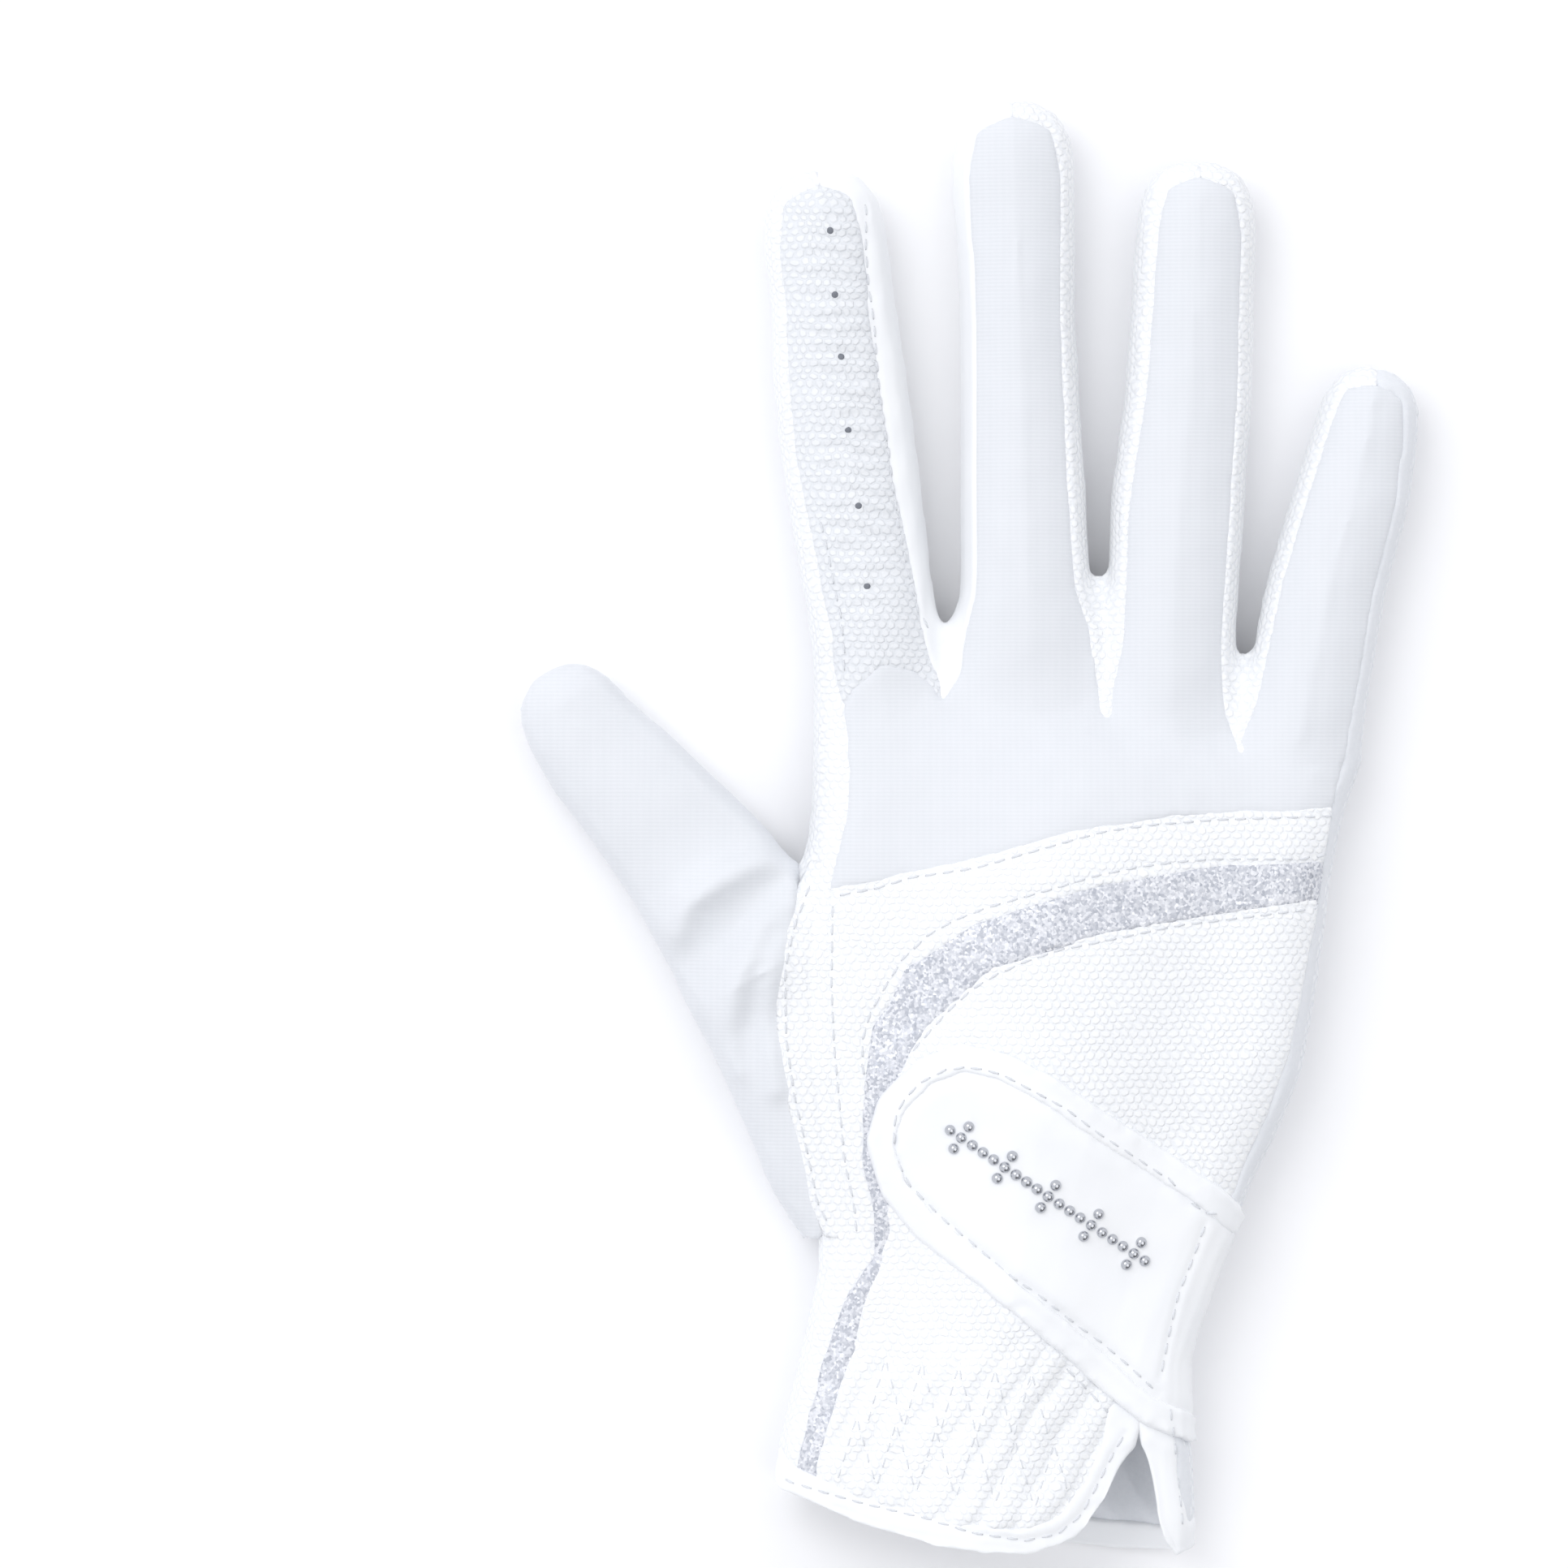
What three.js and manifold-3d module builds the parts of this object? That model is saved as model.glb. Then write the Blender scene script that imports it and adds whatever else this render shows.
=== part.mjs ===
// A riding glove for the right hand, lying palm down: millimetres, +X to the little finger,
// +Y to the fingertips, +Z up. The origin is the middle of its outline, on the surface it lies on.
import * as THREE from "three";
import { ParametricGeometry } from "three/addons/geometries/ParametricGeometry.js";
import { mergeVertices } from "three/addons/utils/BufferGeometryUtils.js";
import Module from "manifold-3d";

const wasm = await Module();
wasm.setup();

// Driving sizes of the hand
const HAND_WIDTH = 90;
const HAND_LENGTH = 156;
const HAND_EDGE = 18;
const HAND_CROWN = 6.5;
const FINGER_THICK = 14.5;
const INDEX_LENGTH = 76.4;
const INDEX_WIDTH = 22;
const MIDDLE_LENGTH = 87.9;
const MIDDLE_WIDTH = 20.5;
const RING_LENGTH = 85.2;
const RING_WIDTH = 21.5;
const LITTLE_LENGTH = 59.7;
const LITTLE_WIDTH = 20;
const THUMB_LENGTH = 103.5;
const THUMB_WIDTH = 27;
const THUMB_THICK = 16;

// Material, seams and edges
const WALL = 1.6;
const SEAM_GAP = 0.3;
const GATHER_DEPTH = 0.6;
const GATHER_PITCH = 8;
const GATHERS = 4;
const PUCKER_DEPTH = 0.45;
const BINDING_WIDTH = 4.8;
const BINDING_PROUD = 0.5;
const STRAP_THICK = 1.5;
const STRAP_BINDING_WIDTH = 3.6;
const STRAP_BINDING_THICK = 2.1;
const BACK_INSET_LIMIT = 2.4;
const PALM_INSET = 2.9;
const TIP_INSET = 2.4;
const PATCH_INSET = 4.6;

// Studs and vent holes
const STUD_RADIUS = 1;
const STUD_HEIGHT = 0.8;
const STUD_SIDES = 10;
const STUD_SPREAD = 2.2;
const STUD_GAP = 0.4;
const ROSETTES = 5;
const ROSETTE_PITCH = 8.6;
const VENT_RADIUS = 0.7;
const VENT_SIDES = 8;
const VENT_COUNT = 6;
const VENT_FIRST = 0.087;
const VENT_PITCH = 0.155;

// How finely the curved walls are drawn
const CAP_STEPS = 3;
const HOLLOW_CAP_STEPS = 2;
const CAP_SQUARENESS = 0.62;
const HAND_FACETS = { arc: 4, top: 8 };
const HAND_HOLLOW_FACETS = { arc: 4, top: 6 };
const FINGER_FACETS = { arc: 4, top: 2 };
const THUMB_FACETS = { arc: 4, top: 4 };
const THUMB_HOLLOW_FACETS = { arc: 4, top: 2 };
const WELD = 1e-4;
const SHARPEST_CORNER = 0.4;

function table(columns, ...rows) {
  return rows.map((row) => Object.fromEntries(columns.map((column, i) => [column, row[i]])));
}

// The hand's sections from the webs to the cuff: places of both silhouettes as shares of the hand's
// width and length, thickness at the edge and extra height in the middle as shares of their sizes.
const HAND_SECTIONS = table(
  ["left", "leftUp", "right", "rightUp", "edge", "crown"],
  [-0.472, 0.96, 0.548, 0.86, 0.67, 0.2],
  [-0.475, 0.895, 0.53, 0.84, 0.83, 0.5],
  [-0.478, 0.803, 0.508, 0.803, 0.94, 0.77],
  [-0.501, 0.73, 0.483, 0.734, 1, 0.92],
  [-0.535, 0.665, 0.469, 0.665, 1, 1],
  [-0.544, 0.596, 0.451, 0.596, 1, 1],
  [-0.535, 0.527, 0.43, 0.527, 1, 0.92],
  [-0.511, 0.458, 0.381, 0.458, 0.94, 0.92],
  [-0.481, 0.393, 0.324, 0.393, 0.92, 0.85],
  [-0.457, 0.342, 0.281, 0.333, 0.89, 0.85],
  [-0.475, 0.286, 0.248, 0.281, 0.89, 0.85],
  [-0.501, 0.217, 0.212, 0.221, 0.92, 0.85],
  [-0.526, 0.16, 0.214, 0.165, 0.94, 0.85],
  [-0.545, 0.109, 0.227, 0.113, 0.97, 0.85],
  [-0.554, 0.057, 0.235, 0.057, 1, 0.85],
  [-0.559, -0.12, 0.239, -0.12, 1, 0.85],
);

// Where the wrist's gathers start, how far they climb from the middle to either side, and where the
// wrist ends below them, as shares of the hand's length.
const GATHER_HIGH = 0.265;
const GATHER_CLIMB = 0.03;
const WRIST_END = -0.05;

// Fingers: place of the base on the hand, size and lean from straight ahead. Their sections run from
// below the web (along 0) to where the round tip starts. Sections up to the web take their width from
// the hand, a finger's share of it, and the others from the finger.
const FINGERS = {
  index: {
    across: -0.362, up: 1, length: INDEX_LENGTH, width: INDEX_WIDTH, lean: -6.7,
    sections: table(
      ["along", "side", "wide", "thick"],
      [-0.22, 0.02, 1.03, 0.95], [0, 0, 0.95, 1.02], [0.34, -0.03, 1.03, 1],
      [0.52, -0.035, 1.02, 1], [0.7, -0.02, 0.95, 1], [0.86, -0.02, 0.93, 0.97],
    ),
    backSeam: table(
      ["along", "left", "right"],
      [0, 0.16, 0.12], [0.34, 0.12, 0.23], [0.6, 0.11, 0.24], [0.84, 0.11, 0.2],
    ),
  },
  middle: {
    across: -0.078, up: 0.996, length: MIDDLE_LENGTH, width: MIDDLE_WIDTH, lean: -1.8,
    sections: table(
      ["along", "side", "wide", "thick"],
      [-0.2, 0, 1.18, 0.95], [0, 0, 1.18, 1], [0.07, 0, 1.08, 1.02], [0.3, 0, 1.01, 1],
      [0.58, 0, 0.94, 1], [0.88, 0.01, 1, 0.97],
    ),
    backSeam: table(
      ["along", "left", "right"],
      [0, 0.12, 0.14], [0.34, 0.12, 0.15], [0.6, 0.12, 0.12], [0.86, 0.12, 0.12],
    ),
  },
  ring: {
    across: 0.188, up: 0.95, length: RING_LENGTH, width: RING_WIDTH, lean: 2.4,
    sections: table(
      ["along", "side", "wide", "thick"],
      [-0.17, -0.02, 1.1, 0.95], [-0.05, -0.02, 1.05, 1], [0.06, -0.02, 1.02, 1.02],
      [0.32, -0.01, 1.05, 1], [0.55, 0.04, 0.99, 1], [0.88, 0.05, 0.93, 0.97],
    ),
    backSeam: table(
      ["along", "left", "right"],
      [0, 0.13, 0.12], [0.34, 0.14, 0.12], [0.7, 0.18, 0.12], [0.85, 0.17, 0.12],
    ),
  },
  little: {
    across: 0.427, up: 0.901, length: LITTLE_LENGTH, width: LITTLE_WIDTH, lean: 10.9,
    sections: table(
      ["along", "side", "wide", "thick"],
      [-0.17, -0.04, 0.98, 0.95], [0, 0, 0.94, 1.02], [0.38, 0, 1, 1],
      [0.66, 0.07, 0.97, 0.98], [0.84, 0.08, 0.86, 0.94],
    ),
    backSeam: table(
      ["along", "left", "right"],
      [0, 0.12, 0.12], [0.4, 0.12, 0.12], [0.84, 0.12, 0.13],
    ),
  },
};

// The webs where neighbouring fingers part.
const WEBS = table(["across", "up"], [-0.236, 0.92], [0.068, 0.87], [0.324, 0.82]);

// The thumb: its base on the hand's plan, and its sections from the base to the tip. Two rows stand
// proud and two lie low, for the two folds across its base.
const THUMB = { across: -0.434, up: 0.362, lean: -30.4 };
const THUMB_SECTIONS = table(
  ["along", "side", "wide", "thick"],
  [0, 0.02, 0.5, 0.75],
  [0.1, 0.14, 0.74, 0.88],
  [0.21, 0.28, 0.9, 0.95],
  [0.29, 0.36, 0.99, 0.98],
  [0.345, 0.39, 1.01, 0.86],
  [0.41, 0.41, 1.04, 1.07],
  [0.49, 0.42, 1.01, 0.85],
  [0.56, 0.42, 0.98, 1.05],
  [0.61, 0.41, 0.95, 0.9],
  [0.74, 0.32, 0.84, 0.92],
  [0.83, 0.25, 0.79, 0.88],
  [0.9, 0.2, 0.7, 0.83],
);

// Seams of the hand's back as shares of the hand's width and length.
const SIDE_SEAM = table(
  ["across", "up"],
  [-0.511, 0.02], [-0.501, 0.113], [-0.474, 0.182], [-0.441, 0.242], [-0.411, 0.287],
  [-0.401, 0.333], [-0.415, 0.398], [-0.433, 0.475], [-0.445, 0.562], [-0.448, 0.648],
  [-0.442, 0.726], [-0.409, 0.795], [-0.404, 0.846], [-0.414, 0.915],
);
const LITTLE_SIDE_SEAM = table(
  ["across", "up"],
  [0.494, 0.835], [0.477, 0.79], [0.452, 0.7], [0.422, 0.6], [0.4, 0.54], [0.345, 0.46],
  [0.29, 0.39], [0.243, 0.325], [0.21, 0.265], [0.17, 0.215], [0.128, 0.17],
);
const INDEX_SEAM = table(
  ["across", "up"],
  [-0.236, 0.919], [-0.29, 0.955], [-0.351, 0.957], [-0.396, 0.935], [-0.42, 0.905],
);
const BAND_SEAM = table(
  ["across", "up"],
  [-0.463, 0.72], [-0.359, 0.73], [-0.179, 0.753], [0, 0.782], [0.194, 0.801],
  [0.418, 0.805], [0.5, 0.808],
);
const STRIPE_TOP = table(
  ["across", "up"],
  [0.48, 0.75], [0.269, 0.745], [0.045, 0.726], [-0.179, 0.684], [-0.299, 0.639],
  [-0.362, 0.575], [-0.38, 0.501], [-0.384, 0.432], [-0.362, 0.372], [-0.362, 0.333],
  [-0.411, 0.287],
);
const STRIPE_LOW = table(
  ["across", "up"],
  [0.47, 0.712], [0.269, 0.696], [0.045, 0.674], [-0.149, 0.638], [-0.269, 0.577],
  [-0.329, 0.51], [-0.341, 0.432], [-0.333, 0.363], [-0.348, 0.32], [-0.381, 0.281],
  [-0.407, 0.225], [-0.443, 0.156], [-0.475, 0.087], [-0.484, 0.01],
);
const PALM_SEAM = table(
  ["across", "up"],
  [-0.478, 0.02], [-0.463, 0.113], [-0.433, 0.199], [-0.396, 0.286], [-0.39, 0.346],
  [-0.411, 0.415], [-0.441, 0.501], [-0.46, 0.588], [-0.463, 0.674], [-0.441, 0.752],
  [-0.418, 0.838], [-0.41, 0.92],
);

// Edges of the cuff: the back's low edge with its round corner, the flap of the palm that curls up
// beside the slit, and the palm's low edge.
const BACK_EDGE = table(
  ["across", "up"],
  [-0.6, 0.125], [-0.545, 0.083], [-0.404, 0.049], [-0.254, 0.025], [-0.09, 0.015],
  [0.007, 0.031], [0.067, 0.074], [0.112, 0.126], [0.123, 0.173],
);
const FLAP_EDGE = table(
  ["across", "up"],
  [0.123, 0.173], [0.134, 0.13], [0.148, 0.079], [0.164, 0.03], [0.194, 0.008], [0.27, 0.03],
);
const PALM_EDGE = table(
  ["across", "up"],
  [0.27, 0.03], [0.194, 0.008], [0.045, 0.016], [-0.179, 0.027], [-0.404, 0.051],
  [-0.545, 0.083], [-0.6, 0.125],
);

// The closing tab, from its upper end at the little-finger side round its left end and back.
const STRAP_EDGE = table(
  ["across", "up"],
  [0.37, 0.355], [0.269, 0.404], [0.179, 0.439], [0.075, 0.477], [-0.03, 0.519],
  [-0.12, 0.546], [-0.202, 0.557], [-0.284, 0.539], [-0.348, 0.501], [-0.374, 0.454],
  [-0.344, 0.398], [-0.284, 0.356], [-0.179, 0.31], [-0.03, 0.241], [0.12, 0.163],
  [0.25, 0.13],
);
const STUD_FIELD = { across: -0.045, up: 0.398, turn: -34 };

// The wear patches under the index and little fingers, as shares of the finger's length.
const INDEX_PATCH = { from: -0.1, to: 0.78 };
const LITTLE_PATCH = { from: -0.12, to: 0.72 };

const SLIMMEST = 0.86;
const SEAM_START = -0.08;
const SEAM_END = 0.02;
const TIP_SEAM_ANGLES = [45, 90, 135];
const THUMB_SEAM_SHARE = 0.42;
const FINGER_CROWN = 0.08;
const HAND_CAP = [0.8, 0.35];
const HAND_CAP_TAPER = 20;
const CAP_FLAT = 0.35;
const CUFF_BEYOND = 0.2;
const ROUNDEST = 0.98;
const PROBE = 1;
const HIGH = HAND_EDGE + HAND_CROWN + THUMB_THICK;
const FLOOR = -HIGH;
const SEAM_LEVEL = HAND_EDGE / 2;

function handPoint({ across, up }) {
  return new THREE.Vector2(across * HAND_WIDTH, up * HAND_LENGTH);
}

function solid(geometry) {
  const bare = geometry.index ? geometry.toNonIndexed() : geometry.clone();
  bare.deleteAttribute("normal");
  bare.deleteAttribute("uv");
  const merged = mergeVertices(bare, WELD);
  const corners = merged.index.array;
  const kept = [];
  for (let i = 0; i < corners.length; i += 3) {
    const [a, b, c] = corners.subarray(i, i + 3);
    if (a !== b && b !== c && c !== a) kept.push(a, b, c);
  }
  return new wasm.Manifold(
    new wasm.Mesh({
      numProp: 3,
      vertProperties: merged.attributes.position.array,
      triVerts: new Uint32Array(kept),
    }),
  );
}

function prism(outline, low, high) {
  const depth = high - low;
  const body = new THREE.ExtrudeGeometry(new THREE.Shape(outline), { depth, bevelEnabled: false });
  return solid(body.translate(0, 0, low));
}

// A body through closed rings of points, with both ends capped.
function throughRings(rings) {
  const around = rings[0].length;
  const centreOf = (points) =>
    points.reduce((sum, point) => sum.add(point), new THREE.Vector3()).divideScalar(around);
  const first = centreOf(rings[0]);
  const last = centreOf(rings[rings.length - 1]);
  const rows = [rings[0].map(() => first), ...rings, rings[0].map(() => last)];
  const steps = rows.length - 1;
  const place = (u, v, target) =>
    target.copy(rows[Math.min(Math.round(v * steps), steps)][Math.round(u * around) % around]);
  return solid(new ParametricGeometry(place, around, steps));
}

// A line on the plan moved to its left by a distance, with its corners kept to that distance.
function sideways(points, distance) {
  return points.map((point, i) => {
    const before = points[Math.max(i - 1, 0)];
    const after = points[Math.min(i + 1, points.length - 1)];
    const runs = [point.clone().sub(before), after.clone().sub(point)];
    const normals = runs
      .filter((run) => run.length() > 0)
      .map((run) => new THREE.Vector2(-run.y, run.x).normalize());
    const middle = normals.reduce((sum, next) => sum.clone().add(next)).normalize();
    const stretch = 1 / Math.max(middle.dot(normals[0]), SHARPEST_CORNER);
    return point.clone().addScaledVector(middle, distance * stretch);
  });
}

// A standing strip of one width along a line on the plan: a seam's cut, or the zone of a binding.
function strip(points, width, low, high) {
  const left = sideways(points, width / 2);
  const right = sideways(points, -width / 2);
  const rings = points.map((_, i) => [
    new THREE.Vector3(left[i].x, left[i].y, low),
    new THREE.Vector3(left[i].x, left[i].y, high),
    new THREE.Vector3(right[i].x, right[i].y, high),
    new THREE.Vector3(right[i].x, right[i].y, low),
  ]);
  const spans = rings.slice(1).map((next, i) => throughRings([rings[i], next]));
  return wasm.Manifold.union(spans);
}

// One closed section: flat below, round at both edges, crowned above.
function ring(station, facets) {
  const { left, right, middle, edge, crown } = station;
  const half = left.distanceTo(right) / 2;
  const radius = edge / 2;
  const round = Math.min(radius, half * ROUNDEST);
  const flat = half - round;
  const profile = [];
  profile.push([-flat, middle - radius]);
  for (let i = 0; i < facets.arc; i++) {
    const angle = -Math.PI / 2 + (Math.PI * i) / facets.arc;
    profile.push([flat + round * Math.cos(angle), middle + radius * Math.sin(angle)]);
  }
  for (let i = 0; i < facets.top; i++) {
    const share = 1 - (2 * i) / facets.top;
    profile.push([flat * share, middle + radius + crown * (0.5 + 0.5 * Math.cos(Math.PI * share))]);
  }
  for (let i = 0; i < facets.arc; i++) {
    const angle = Math.PI / 2 + (Math.PI * i) / facets.arc;
    profile.push([-flat + round * Math.cos(angle), middle + radius * Math.sin(angle)]);
  }
  const centre = left.clone().lerp(right, 0.5);
  const run = right.clone().sub(left).normalize();
  return profile.map(
    ([side, height]) => new THREE.Vector3(centre.x + run.x * side, centre.y + run.y * side, height),
  );
}

const loft = (stations, facets) =>
  throughRings(stations.map((station) => ring(station, facets)));

function lerpRow(a, b, share) {
  return Object.fromEntries(
    Object.keys(a).map((key) => [key, THREE.MathUtils.lerp(a[key], b[key], share)]),
  );
}

// The hand's table read at one place for its left side and at another for its right.
function handRow(leftUp, rightUp) {
  const read = (column, up) => {
    const i = HAND_SECTIONS.findIndex((row) => row[column] < up);
    const [high, low] = [HAND_SECTIONS[i - 1], HAND_SECTIONS[i]];
    return lerpRow(high, low, (high[column] - up) / (high[column] - low[column]));
  };
  return { ...read("rightUp", rightUp), left: read("leftUp", leftUp).left, leftUp };
}

function handStation(row, grow, dip = 0) {
  const left = new THREE.Vector2(row.left * HAND_WIDTH, row.leftUp * HAND_LENGTH);
  const right = new THREE.Vector2(row.right * HAND_WIDTH, row.rightUp * HAND_LENGTH);
  const out = right.clone().sub(left).normalize().multiplyScalar(grow);
  const edge = row.edge * HAND_EDGE - dip;
  return {
    left: left.sub(out),
    right: right.add(out),
    middle: edge / 2,
    edge: edge + 2 * grow,
    crown: row.crown * HAND_CROWN,
  };
}

// The wrist's stations, which alternate between a gather's ridge and its valley and lie aslant.
function gatheredStations(grow) {
  const slanted = (up) => handRow(up - GATHER_CLIMB, up + GATHER_CLIMB);
  const waves = Array.from({ length: 2 * GATHERS + 1 }, (_, i) => {
    const up = GATHER_HIGH - (i * GATHER_PITCH) / 2 / HAND_LENGTH;
    return handStation(slanted(up), grow, i % 2 === 0 ? 0 : GATHER_DEPTH);
  });
  return [...waves, handStation(slanted(WRIST_END), grow)];
}

// The body of the hand, with a round end between the fingers.
function hand(grow, facets, gathered = false) {
  const rows = gathered
    ? HAND_SECTIONS.filter((row) => row.rightUp > GATHER_HIGH + GATHER_CLIMB)
    : HAND_SECTIONS;
  const stations = rows.map((row) => handStation(row, grow));
  const [first] = stations;
  for (const share of HAND_CAP) {
    const moved = new THREE.Vector2(0, (first.edge / 2) * Math.sqrt(1 - share * share));
    const left = first.left.clone().lerp(first.right, (1 - share) / HAND_CAP_TAPER).add(moved);
    const right = first.right.clone().lerp(first.left, (1 - share) / HAND_CAP_TAPER).add(moved);
    stations.unshift({ ...first, left, right, edge: first.edge * share });
  }
  if (gathered) stations.push(...gatheredStations(grow));
  return loft(stations, facets);
}

// A digit's table read at any share of its length.
function rowAt(rows, along) {
  const after = rows.findIndex((row) => row.along > along);
  if (after < 1) return rows[after === 0 ? 0 : rows.length - 1];
  const [low, high] = [rows[after - 1], rows[after]];
  return lerpRow(low, high, (along - low.along) / (high.along - low.along));
}

const sectionAt = (digit, along) => rowAt(digit.sections, along);

// A digit's stations along its own axis, with a round cap that starts at its last section.
function digitStations(digit, grow) {
  const { sections, length, width, thick, puckers } = digit;
  const end = sections[sections.length - 1];
  const station = (row, along, shrink, dip) => {
    const half = (row.wide / 2 + grow) * shrink;
    const depth = row.thick * thick - dip;
    return {
      left: digitPoint(digit, along, row.side * width - half),
      right: digitPoint(digit, along, row.side * width + half),
      middle: depth / 2,
      edge: (depth + 2 * grow) * shrink,
      crown: depth * FINGER_CROWN * shrink,
    };
  };
  const places = [
    ...sections.map(({ along }) => ({ along, dip: 0 })),
    ...(grow < 0 ? [] : puckers).map((along) => ({ along, dip: PUCKER_DEPTH })),
  ].sort((a, b) => a.along - b.along);
  const capSteps = grow < 0 ? HOLLOW_CAP_STEPS : CAP_STEPS;
  const stations = places.map(({ along, dip }) => station(sectionAt(digit, along), along, 1, dip));
  const reach = 1 - end.along + grow / length;
  for (let i = 1; i <= capSteps; i++) {
    const angle = (Math.PI / 2) * (i / (capSteps + CAP_FLAT));
    const along = end.along + reach * Math.sin(angle);
    stations.push(station(end, along, Math.cos(angle) ** CAP_SQUARENESS, 0));
  }
  return stations;
}

function heading(lean) {
  const angle = THREE.MathUtils.degToRad(lean);
  return new THREE.Vector2(Math.sin(angle), Math.cos(angle));
}

const vents = Array.from({ length: VENT_COUNT }, (_, i) => VENT_FIRST + i * VENT_PITCH);

const digits = Object.fromEntries(
  Object.entries(FINGERS).map(([name, finger]) => [
    name,
    {
      ...finger,
      sections: finger.sections.map((row) => ({
        ...row,
        wide: row.wide * (row.along > 0 ? finger.width : HAND_WIDTH / Object.keys(FINGERS).length),
      })),
      origin: handPoint(finger),
      ahead: heading(finger.lean),
      thick: FINGER_THICK,
      puckers: name === "index" ? vents.slice(0, -1) : [],
    },
  ]),
);

const thumbDigit = {
  sections: THUMB_SECTIONS.map((row) => ({ ...row, wide: row.wide * THUMB_WIDTH })),
  origin: handPoint(THUMB),
  ahead: heading(THUMB.lean),
  length: THUMB_LENGTH,
  width: THUMB_WIDTH,
  thick: THUMB_THICK,
  puckers: [],
};

const digitBody = (digit, grow, facets) =>
  loft(digitStations(digit, grow).reverse(), facets);

const fingers = (grow, facets) =>
  Object.values(digits)
    .map((digit) => digitBody(digit, grow, facets))
    .reduce((all, next) => all.add(next));

// A point on the plan of a digit: along as a share of its length, side in millimetres.
function digitPoint(digit, along, side) {
  const aside = new THREE.Vector2(digit.ahead.y, -digit.ahead.x);
  const start = digit.origin.clone().addScaledVector(digit.ahead, along * digit.length);
  return start.addScaledVector(aside, side);
}

// A seam on a finger: up its left side, round the tip and down its right side. Its rows give how far
// it runs in from either side.
function fingerSeam(digit, rows) {
  const edgePoint = (row, sign, inset) => {
    const { side, wide } = sectionAt(digit, row.along);
    return digitPoint(digit, row.along, side * digit.width + sign * (wide / 2 - inset));
  };
  const left = rows.map((row) => edgePoint(row, -1, row.left));
  const right = rows.map((row) => edgePoint(row, 1, row.right));
  const end = rows[rows.length - 1];
  const { side, wide } = sectionAt(digit, end.along);
  const reach = 1 - end.along - TIP_INSET / digit.length;
  const tip = TIP_SEAM_ANGLES.map((degrees) => {
    const angle = THREE.MathUtils.degToRad(degrees);
    const sign = -Math.sign(Math.cos(angle));
    const half = wide / 2 - (sign < 0 ? end.left : end.right);
    const offset = sign * half * Math.abs(Math.cos(angle)) ** CAP_SQUARENESS;
    return digitPoint(digit, end.along + reach * Math.sin(angle), side * digit.width + offset);
  });
  return [...left, ...tip, ...right.reverse()];
}

// The shares of a finger's length at which its seams have a point, from below the web to the tip.
function seamPlaces({ sections }) {
  const bends = sections.map((row) => row.along).filter((along) => along > SEAM_START);
  return [SEAM_START, ...bends.slice(0, -1), bends[bends.length - 1] - SEAM_END];
}

const evenSeam = (digit, inset) =>
  seamPlaces(digit).map((along) => ({ along, left: inset, right: inset }));

// The rows of a finger's back seam in millimetres, never so near the side that the wall is in the way.
const backSeamRows = (digit) =>
  seamPlaces(digit).map((along) => {
    const { left, right } = rowAt(digit.backSeam, along);
    return {
      along,
      left: Math.max(left * digit.width, BACK_INSET_LIMIT),
      right: Math.max(right * digit.width, BACK_INSET_LIMIT),
    };
  });

const { index, middle, ring: ringFinger, little } = digits;
const webs = WEBS.map(handPoint);

// The back seam runs from the cuff up the thumb side, round every finger, and down to the slit.
const backSeam = [
  ...SIDE_SEAM.map(handPoint),
  ...fingerSeam(index, backSeamRows(index)),
  webs[0],
  ...fingerSeam(middle, backSeamRows(middle)),
  webs[1],
  ...fingerSeam(ringFinger, backSeamRows(ringFinger)),
  webs[2],
  ...fingerSeam(little, backSeamRows(little)),
  ...LITTLE_SIDE_SEAM.map(handPoint),
];

// The palm seam runs from the cuff up the thumb side and round the fingers to the little fingertip.
const littlePalmSeam = fingerSeam(little, evenSeam(little, PALM_INSET));
const palmSeam = [
  ...PALM_SEAM.map(handPoint),
  ...fingerSeam(index, evenSeam(index, PALM_INSET)),
  webs[0],
  ...fingerSeam(middle, evenSeam(middle, PALM_INSET)),
  webs[1],
  ...fingerSeam(ringFinger, evenSeam(ringFinger, PALM_INSET)),
  webs[2],
  ...littlePalmSeam.slice(0, Math.ceil(littlePalmSeam.length / 2)),
];

// A short cut at a fingertip, where two side walls meet.
function tipCut(digit) {
  const end = digit.sections[digit.sections.length - 1];
  const side = end.side * digit.width;
  const inset = (TIP_INSET + SEAM_GAP) / digit.length;
  const line = [digitPoint(digit, 1 - inset, side), digitPoint(digit, 1 + inset, side)];
  return strip(line, SEAM_GAP, FLOOR, HIGH);
}

// The outline cut of a wear patch on the palm side of a finger.
function patchCut(digit, { from, to }) {
  const half = (digit.width * SLIMMEST) / 2 - PATCH_INSET;
  const corner = half / 2 / digit.length;
  const at = (along, side) => {
    return digitPoint(digit, along, sectionAt(digit, along).side * digit.width + side);
  };
  const outline = [
    at(from, 0), at(from, -half), at((from + to) / 2, -half), at(to - corner, -half),
    at(to, -half / 2), at(to, half / 2),
    at(to - corner, half), at((from + to) / 2, half), at(from, half), at(from, -SEAM_GAP),
  ];
  return strip(outline, SEAM_GAP, FLOOR, FINGER_THICK / 2);
}

const seamAbove = (rows) => strip(rows.map(handPoint), SEAM_GAP, SEAM_LEVEL, HIGH);

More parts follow.
